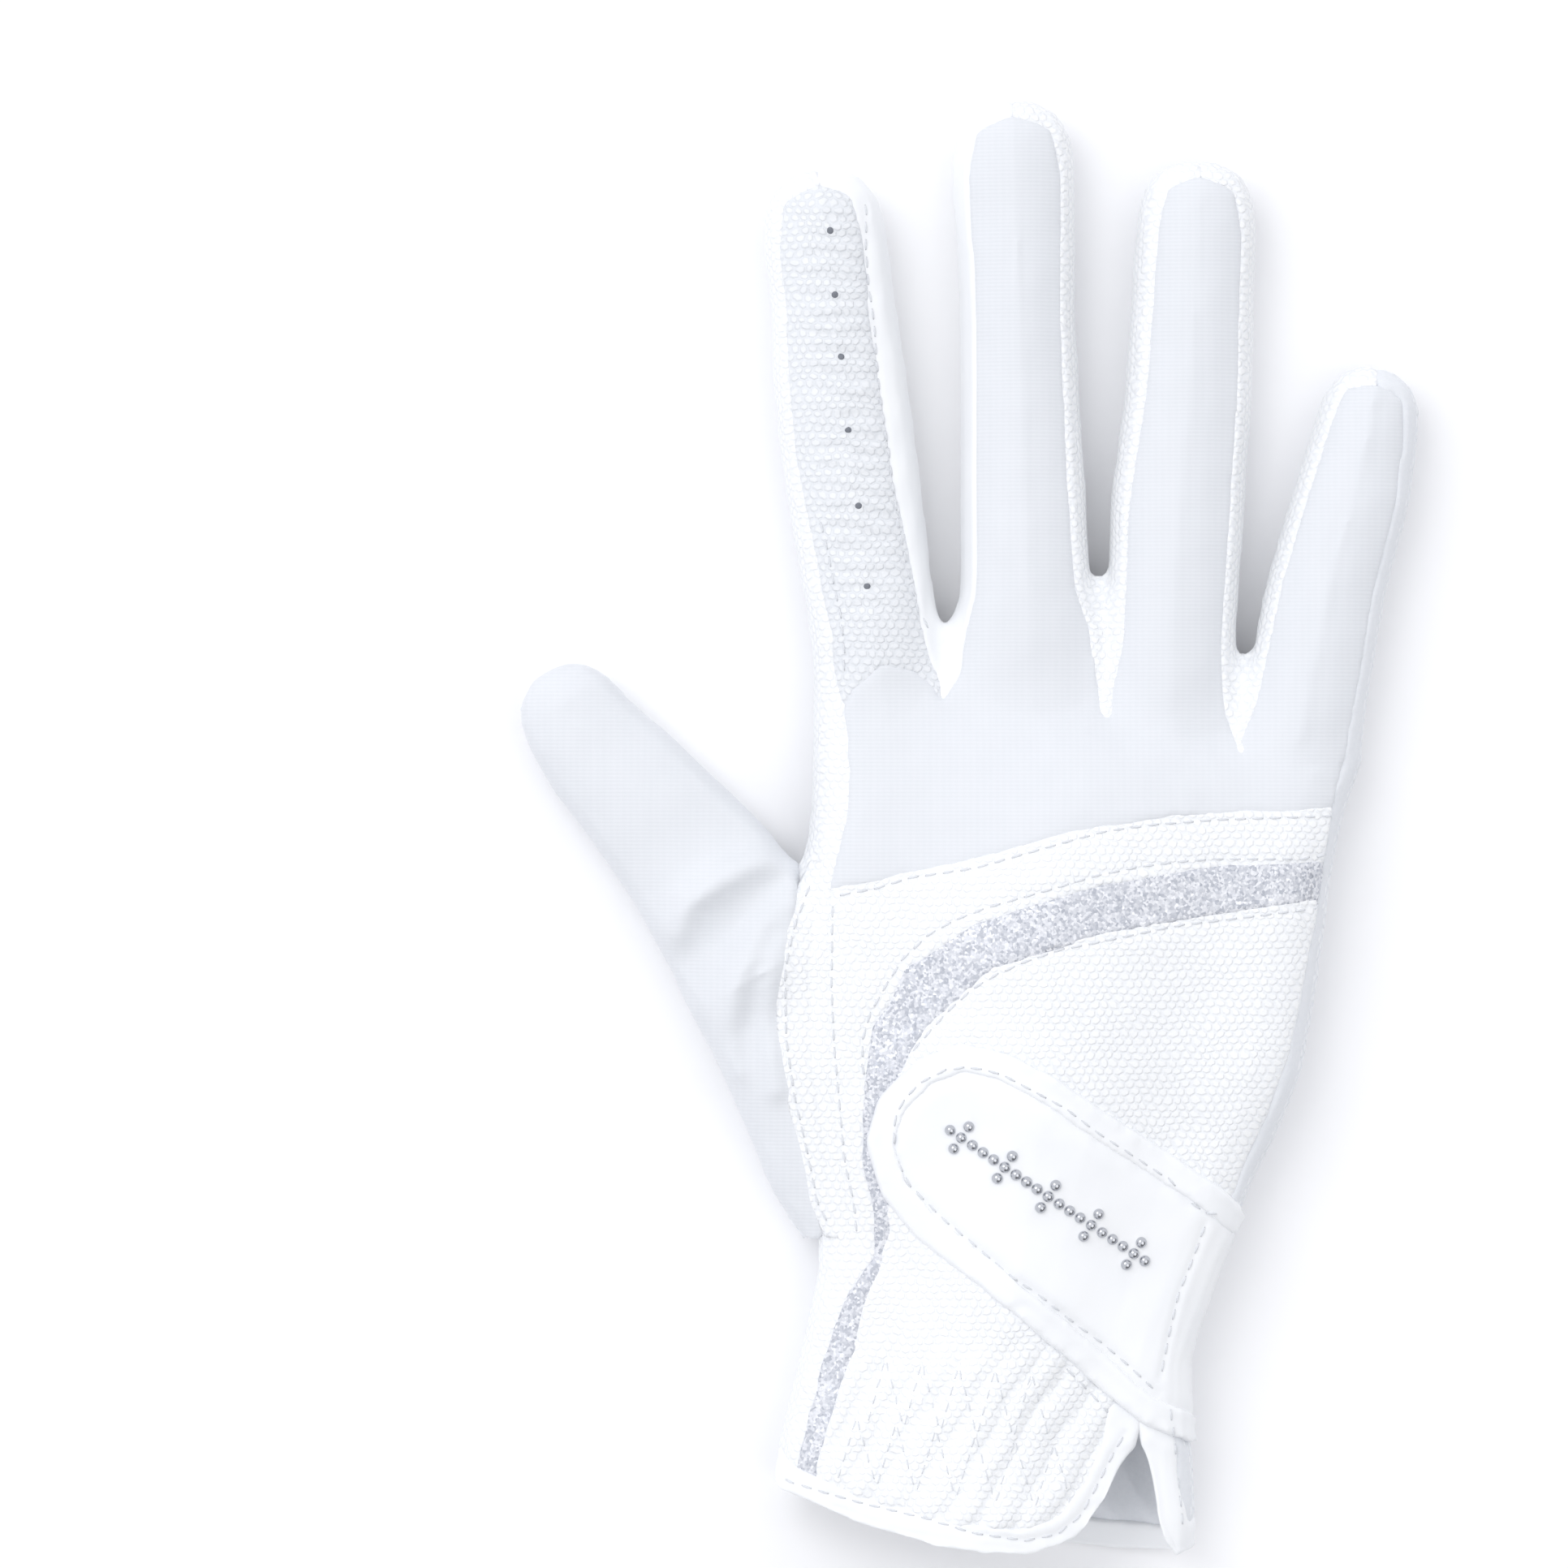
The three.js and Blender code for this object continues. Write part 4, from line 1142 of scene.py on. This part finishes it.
@dataclass
class StripLap:
    """The edge of the thumb-side strip, which laps over the knit of the thumb."""

    border: Line = STRIP_BORDER
    inner: Line = STRIP_MIDDLE
    rows: int = 90
    columns: int = 12
    lift: float = 0.35
    thick: float = 1.0
    fold: float = 0.5
    fold_share: float = 0.2
    sink_from: float = 0.55
    evenings: int = 25

    def build(self, pieces: Pieces) -> None:
        """Lays the lap on the strip and the thumb, and joins it to the strip's piece.

        Args:
            pieces: The sewn pieces by node.
        """
        strip = pieces["thumb_side_strip"]
        ground = Ground([strip, pieces["thumb_back"], pieces["knuckle_band"]])
        border, inner = np.array(self.border), np.array(self.inner)
        shape = bmesh.new()
        bmesh.ops.create_grid(shape, x_segments=self.columns, y_segments=self.rows, size=0.5)
        shape.verts.ensure_lookup_table()
        across = np.array([vertex.co.x + 0.5 for vertex in shape.verts])
        along = np.array([0.5 - vertex.co.y for vertex in shape.verts])
        level = border[0, 1] + along * (border[-1, 1] - border[0, 1])
        left = np.interp(-level, -border[:, 1], border[:, 0])
        right = np.interp(-level, -inner[:, 1], inner[:, 0])
        flat = left + across * (right - left)
        found = [ground.find(x, y, Side.BACK) for x, y in zip(flat, level)]
        heights = np.array([hit[0].z / MM if hit else 0.0 for hit in found])
        heights = heights.reshape(self.rows + 1, self.columns + 1)
        for _ in range(self.evenings):
            heights[1:-1] = (heights[:-2] + 2 * heights[1:-1] + heights[2:]) / 4
            heights[:, 1:-1] = (heights[:, :-2] + 2 * heights[:, 1:-1] + heights[:, 2:]) / 4
        edge = (1 - step(across, 0.0, self.fold_share)) * self.fold
        sunk = step(across, self.sink_from, 1.0) * (self.lift + self.thick / 2)
        for vertex, x, y, z, drop in zip(shape.verts, flat, level, heights.ravel(), edge + sunk):
            vertex.co = Vector((x, y, z + self.lift - drop)) * MM
        bmesh.ops.recalc_face_normals(shape, faces=shape.faces)
        bmesh.ops.solidify(shape, geom=shape.faces[:], thickness=self.thick * MM)
        bmesh.ops.recalc_face_normals(shape, faces=shape.faces)
        shape.from_mesh(strip.data)
        shape.to_mesh(strip.data)
        shape.free()
        strip.data.polygons.foreach_set("use_smooth", [True] * len(strip.data.polygons))
        strip.data.update()


@dataclass(frozen=True)
class SeamRow:
    """A row of machine stitches along a line of the plan."""

    line: Line
    side: Side = Side.BACK
    pitch: float = 2.9
    length: float = 2.1
    thick: float = 0.42

    def spots(self) -> list[tuple[float, float, float]]:
        """Lists the stitches.

        Returns:
            For each stitch its x and y in millimetres and its direction in radians.
        """
        made = []
        corners = [Vector(corner) for corner in self.line]
        carried = self.pitch / 2
        for start, end in zip(corners, corners[1:]):
            span = end - start
            while carried < span.length:
                spot = start + span * (carried / span.length)
                made.append((spot.x, spot.y, math.atan2(span.y, span.x)))
                carried += self.pitch
            carried -= span.length
        return made


@dataclass(frozen=True)
class Zigzag:
    """A row of elastic zigzag stitching, in which each leg is a few short stitches."""

    line: Line
    side: Side = Side.BACK
    pitch: float = 6.3
    tall: float = 11.0
    each: int = 4
    stitch_share: float = 0.62
    thick: float = 0.26

    def rows(self) -> list[SeamRow]:
        """Turns the zigzag into straight rows of short stitches.

        Returns:
            One row for each leg.
        """
        start, end = (Vector(corner) for corner in self.line)
        legs = max(1, round((end - start).length / (self.pitch / 2)))
        corners = []
        for number in range(legs + 1):
            place = start.lerp(end, number / legs)
            corners.append((place.x, place.y + (self.tall / 2 if number % 2 else -self.tall / 2)))
        pitch = math.dist(corners[0], corners[1]) / self.each
        length = pitch * self.stitch_share
        return [SeamRow(pair, self.side, pitch, length, self.thick) for pair in zip(corners, corners[1:])]


def settle(place: Vector, normal: Vector, lying: Vector | None = None) -> Matrix:
    """Finds how a small part lies on the glove.

    Args:
        place: Its place on the surface.
        normal: The surface's normal there.
        lying: The way that its length runs on the plan, or None if it is round.

    Returns:
        The matrix that carries the part from the origin to its place.
    """
    if lying is None:
        turn = Vector((0, 0, 1)).rotation_difference(normal).to_matrix()
    else:
        lying = (lying - normal * lying.dot(normal)).normalized()
        turn = Matrix((lying, normal.cross(lying), normal)).transposed()
    return Matrix.Translation(place) @ turn.to_4x4()


@dataclass
class Stitching:
    """All the visible thread of one side of the glove, as one piece."""

    name: str
    rows: tuple[SeamRow, ...]
    zigzags: tuple[Zigzag, ...] = ()
    around: int = 6
    along: int = 4
    raised: float = 0.1

    def build(self, ground: Ground, finishes: Finishes) -> Object:
        """Lays a small rounded stitch on the glove at each spot.

        Args:
            ground: Finds the surface of the glove.
            finishes: The materials by name.

        Returns:
            The piece.
        """
        shape = bmesh.new()
        for row in [*self.rows, *(row for zigzag in self.zigzags for row in zigzag.rows())]:
            sizes = Matrix.Diagonal((row.length / 2 * MM, row.thick / 2 * MM, row.thick / 2 * MM, 1.0))
            for x, y, angle in row.spots():
                found = ground.find(x, y, row.side)
                if found is None or abs(found[1].z) < STEEP:
                    continue
                place, normal = found
                lying = Vector((math.cos(angle), math.sin(angle), 0.0))
                spot = settle(place + normal * row.thick * self.raised * MM, normal, lying)
                bmesh.ops.create_uvsphere(
                    shape, u_segments=self.around, v_segments=self.along, radius=1.0, matrix=spot @ sizes
                )
        return join(show(self.name, closed(self.name, shape), finishes["thread"]))


@dataclass
class StrapStuds:
    """The polished domes on the closure strap."""

    around: int = 20
    up: int = 12
    tall: float = 0.95
    sunk: float = 0.15

    def build(self, ground: Ground, finishes: Finishes) -> Object:
        """Sets a dome on the strap in the place of each stud.

        Args:
            ground: Finds the surface of the strap.
            finishes: The materials by name.

        Returns:
            The piece.
        """
        nodes = sorted(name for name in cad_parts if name.startswith("stud"))
        shape = bmesh.new()
        for node in nodes:
            low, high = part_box(node)
            middle, radius = (low + high) / 2, (high.x - low.x) / 2
            found = ground.find(middle.x / MM, middle.y / MM, Side.BACK)
            place, normal = found or (middle, Vector((0, 0, 1)))
            dome = bmesh.new()
            bmesh.ops.create_uvsphere(dome, u_segments=self.around, v_segments=self.up, radius=radius)
            cut = bmesh.ops.bisect_plane(
                dome,
                geom=[*dome.verts, *dome.edges, *dome.faces],
                plane_co=(0, 0, -self.sunk * radius),
                plane_no=(0, 0, 1),
                clear_inner=True,
            )
            brim = [part for part in cut["geom_cut"] if isinstance(part, bmesh.types.BMEdge)]
            bmesh.ops.edgeloop_fill(dome, edges=brim)
            dome.transform(settle(place, normal) @ Matrix.Diagonal((1, 1, self.tall, 1)))
            part = closed("dome", dome)
            shape.from_mesh(part)
            bpy.data.meshes.remove(part)
        bmesh.ops.recalc_face_normals(shape, faces=shape.faces)
        return join(show("strap_studs", closed("strap_studs", shape), finishes["steel"]), nodes)


@dataclass
class VentHoles:
    """The six small punched holes along the back of the forefinger."""

    radius: float = 0.62
    deep: float = 0.3
    sunk: float = 0.12
    around: int = 12
    up: int = 6

    def build(self, ground: Ground, finishes: Finishes) -> Object:
        """Sets a small dark dished disc in the leather at each hole, painted shade for the hole's inside.

        Args:
            ground: Finds the surface of the forefinger.
            finishes: The materials by name.

        Returns:
            The piece.
        """
        shape = bmesh.new()
        sizes = Matrix.Diagonal((self.radius * MM, self.radius * MM, self.deep * MM, 1.0))
        for x, y in VENTS:
            found = ground.find(x, y, Side.BACK)
            if found is None:
                continue
            place, normal = found
            spot = settle(place - normal * self.sunk * MM, normal)
            bmesh.ops.create_uvsphere(
                shape, u_segments=self.around, v_segments=self.up, radius=1.0, matrix=spot @ sizes
            )
        return join(show("index_vent_holes", closed("index_vent_holes", shape), finishes["hole"]))


@dataclass(frozen=True)
class Lamp:
    """A square soft light that faces the glove, its place and side in metres and power in watts."""

    name: str
    place: tuple[float, float, float]
    side: float
    power: float

    def build(self) -> None:
        """Hangs the light."""
        lamp = bpy.data.lights.new(self.name, "AREA")
        lamp.size = self.side
        lamp.energy = self.power
        made = bpy.data.objects.new(self.name, lamp)
        made.location = self.place
        made.rotation_euler = (-Vector(self.place)).to_track_quat("-Z", "Y").to_euler()
        bpy.context.scene.collection.objects.link(made)


@dataclass
class Studio:
    """A plain pale floor, soft even light and a camera straight above the glove.

    The sky is bright but for one low side, whose dimness lets white leather stand out from white.
    """

    aim: tuple[float, float] = (-30.75, 7.69)
    wide: float = 259.9
    lens: float = 200.0
    sensor: float = 36.0
    height: float = 12.0
    floor_side: float = 6.0
    floor_drop: float = 0.1
    sky: str = "#FAFBFF"
    bright: float = 1.02
    dim: float = 0.25
    dim_way: tuple[float, float, float] = (0.66, -0.66, 0.36)
    dim_from: float = 0.4
    dim_to: float = 0.8
    lamps: tuple[Lamp, ...] = (
        Lamp("key", (-0.75, 0.75, 1.5), 1.1, 7.2),
        Lamp("fill", (0.9, -0.5, 1.4), 1.4, 7.5),
    )

    def build(self) -> None:
        """Sets the floor, the lights, the sky and the camera."""
        shape = bmesh.new()
        bmesh.ops.create_grid(shape, x_segments=1, y_segments=1, size=self.floor_side / 2)
        bmesh.ops.translate(shape, verts=shape.verts, vec=(0, 0, -self.floor_drop * MM))
        show("floor", closed("floor", shape), PaleFloor("matt_floor").make())
        for lamp in self.lamps:
            lamp.build()
        self.light_sky()
        self.aim_camera()
        bpy.context.scene.view_settings.view_transform = "Standard"

    def light_sky(self) -> None:
        """Makes the sky."""
        world = bpy.data.worlds.new("studio")
        world.use_nodes = True
        tree = world.node_tree
        way = add(tree, "TexCoord").outputs["Generated"]
        near = add(tree, "VectorMath", {0: way, 1: self.dim_way}, operation="DOT_PRODUCT")
        fall = {"Value": near.outputs["Value"], "From Min": self.dim_from, "From Max": self.dim_to}
        fall |= {"To Min": self.bright, "To Max": self.dim}
        shade = add(tree, "MapRange", fall, interpolation_type="SMOOTHSTEP")
        sky = tree.nodes["Background"]
        sky.inputs[0].default_value = linear(self.sky)
        tree.links.new(shade.outputs[0], sky.inputs[1])
        bpy.context.scene.world = world

    def aim_camera(self) -> None:
        """Hangs the camera over the glove, at a height that shows the wanted width."""
        view = bpy.data.cameras.new("camera")
        view.lens = self.lens
        view.sensor_width = self.sensor
        camera = bpy.data.objects.new("camera", view)
        away = self.wide * MM * self.lens / self.sensor
        camera.location = (self.aim[0] * MM, self.aim[1] * MM, away + self.height * MM)
        bpy.context.scene.collection.objects.link(camera)
        bpy.context.scene.camera = camera


BACK_LINES = (
    INDEX_RIGHT, STRIP_TOP, STRIP_SEAM, STRIP_LEFT, BAND_TOP, STRIPE_OUTER, STRIPE_INNER,
    STRAP_UPPER, STRAP_LOWER, STRAP_END, CUFF_ROW, SHEET_EDGE, FLAP_ROW,
)
BACK_ZIGZAGS = (Zigzag(((-17.0, -92.5), (13.0, -95.0))), Zigzag(((-22.0, -102.0), (17.0, -107.0))))
PALM_ZIGZAGS = (
    Zigzag(((-22.0, -88.0), (26.0, -92.0)), Side.PALM),
    Zigzag(((-22.0, -98.5), (26.0, -103.5)), Side.PALM),
)
PALM_NODES = ("palm_panel", "index_rein_patch", "little_finger_patch", "thumb_palm")


def sink(
    pieces: Sequence[Object], rows: Sequence[SeamRow], depth: float = 0.42, width: float = 0.8
) -> None:
    """Presses the rows of the palm into its pieces, so that the thread lies clear of the floor.

    Args:
        pieces: The pieces of the palm.
        rows: The stitch rows.
        depth: How deep the thread pulls the leather in, in millimetres.
        width: Half the width of the groove, in millimetres.
    """
    for piece in pieces:
        points = places(piece.data)
        upright = np.abs(facing(piece.data)[:, 2])
        plan = points[:, :2] / MM
        press = np.zeros(len(plan))
        for row in rows:
            press = np.maximum(press, Crease(row.line, depth, width).rise(plan))
        points[:, 2] += press * upright * MM
        put(piece.data, points)


def palm_rows(pieces: Pieces) -> tuple[SeamRow, ...]:
    """Lists the stitch rows of the palm, which follow its patches and the thumb piece.

    Args:
        pieces: The sewn pieces by node.

    Returns:
        The rows.
    """
    patch_inset, thumb_insets = 1.1, (1.3, 3.4)
    lines = []
    for node in ("index_rein_patch", "little_finger_patch"):
        left, right = rim(pieces[node], patch_inset)
        lines.append((*left, *reversed(right), left[0]))
    lines += [rim(pieces["thumb_palm"], inset)[1] for inset in thumb_insets]
    return tuple(SeamRow(line, Side.PALM) for line in lines)


def main() -> None:
    """Builds the glove, its thread, studs and holes, and the studio."""
    logging.basicConfig(level=logging.INFO, format="%(message)s")
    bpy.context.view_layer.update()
    Studio().build()
    finishes = {
        "knit": StretchKnit("stretch_knit").make(),
        # In each embossed leather the groove colour is painted shade, darker than its cells.
        "fine_leather": EmbossedLeather("embossed_leather").make(),
        "palm": EmbossedLeather(
            "embossed_palm_leather", cell="#F1F3F6", groove="#E9ECF1", pitch=2.1 * MM, relief=0.2 * MM
        ).make(),
        # The forefinger's back is the same embossed leather, coloured darker as painted shade.
        "finger": EmbossedLeather(
            "embossed_finger_leather_painted_shade", cell="#EBEDF0", groove="#E4E7EB", relief=0.16 * MM
        ).make(),
        "smooth": SmoothLeather("smooth_leather").make(),
        "glitter": GlitterCloth("glitter_cloth").make(),
        "backing": BrushedBacking("brushed_backing").make(),
        "thread": Thread("polyester_thread_painted_shade").make(),
        "steel": PolishedSteel("polished_steel").make(),
        # the holes' dark colour is painted shade
        "hole": DarkHole("punched_hole_shade").make(),
    }
    pieces = SewnGlove().build(finishes)
    StripLap().build(pieces)
    palm = palm_rows(pieces)
    zigzags = [row for zigzag in PALM_ZIGZAGS for row in zigzag.rows()]
    sink([pieces[node] for node in PALM_NODES], [*palm, *zigzags])
    ground = Ground(list(pieces.values()))
    StrapStuds().build(ground, finishes)
    VentHoles().build(ground, finishes)
    back = tuple(SeamRow(line) for line in BACK_LINES)
    Stitching("back_stitching", back, BACK_ZIGZAGS).build(ground, finishes)
    Stitching("palm_stitching", palm, PALM_ZIGZAGS).build(ground, finishes)


if __name__ == "__main__":
    main()
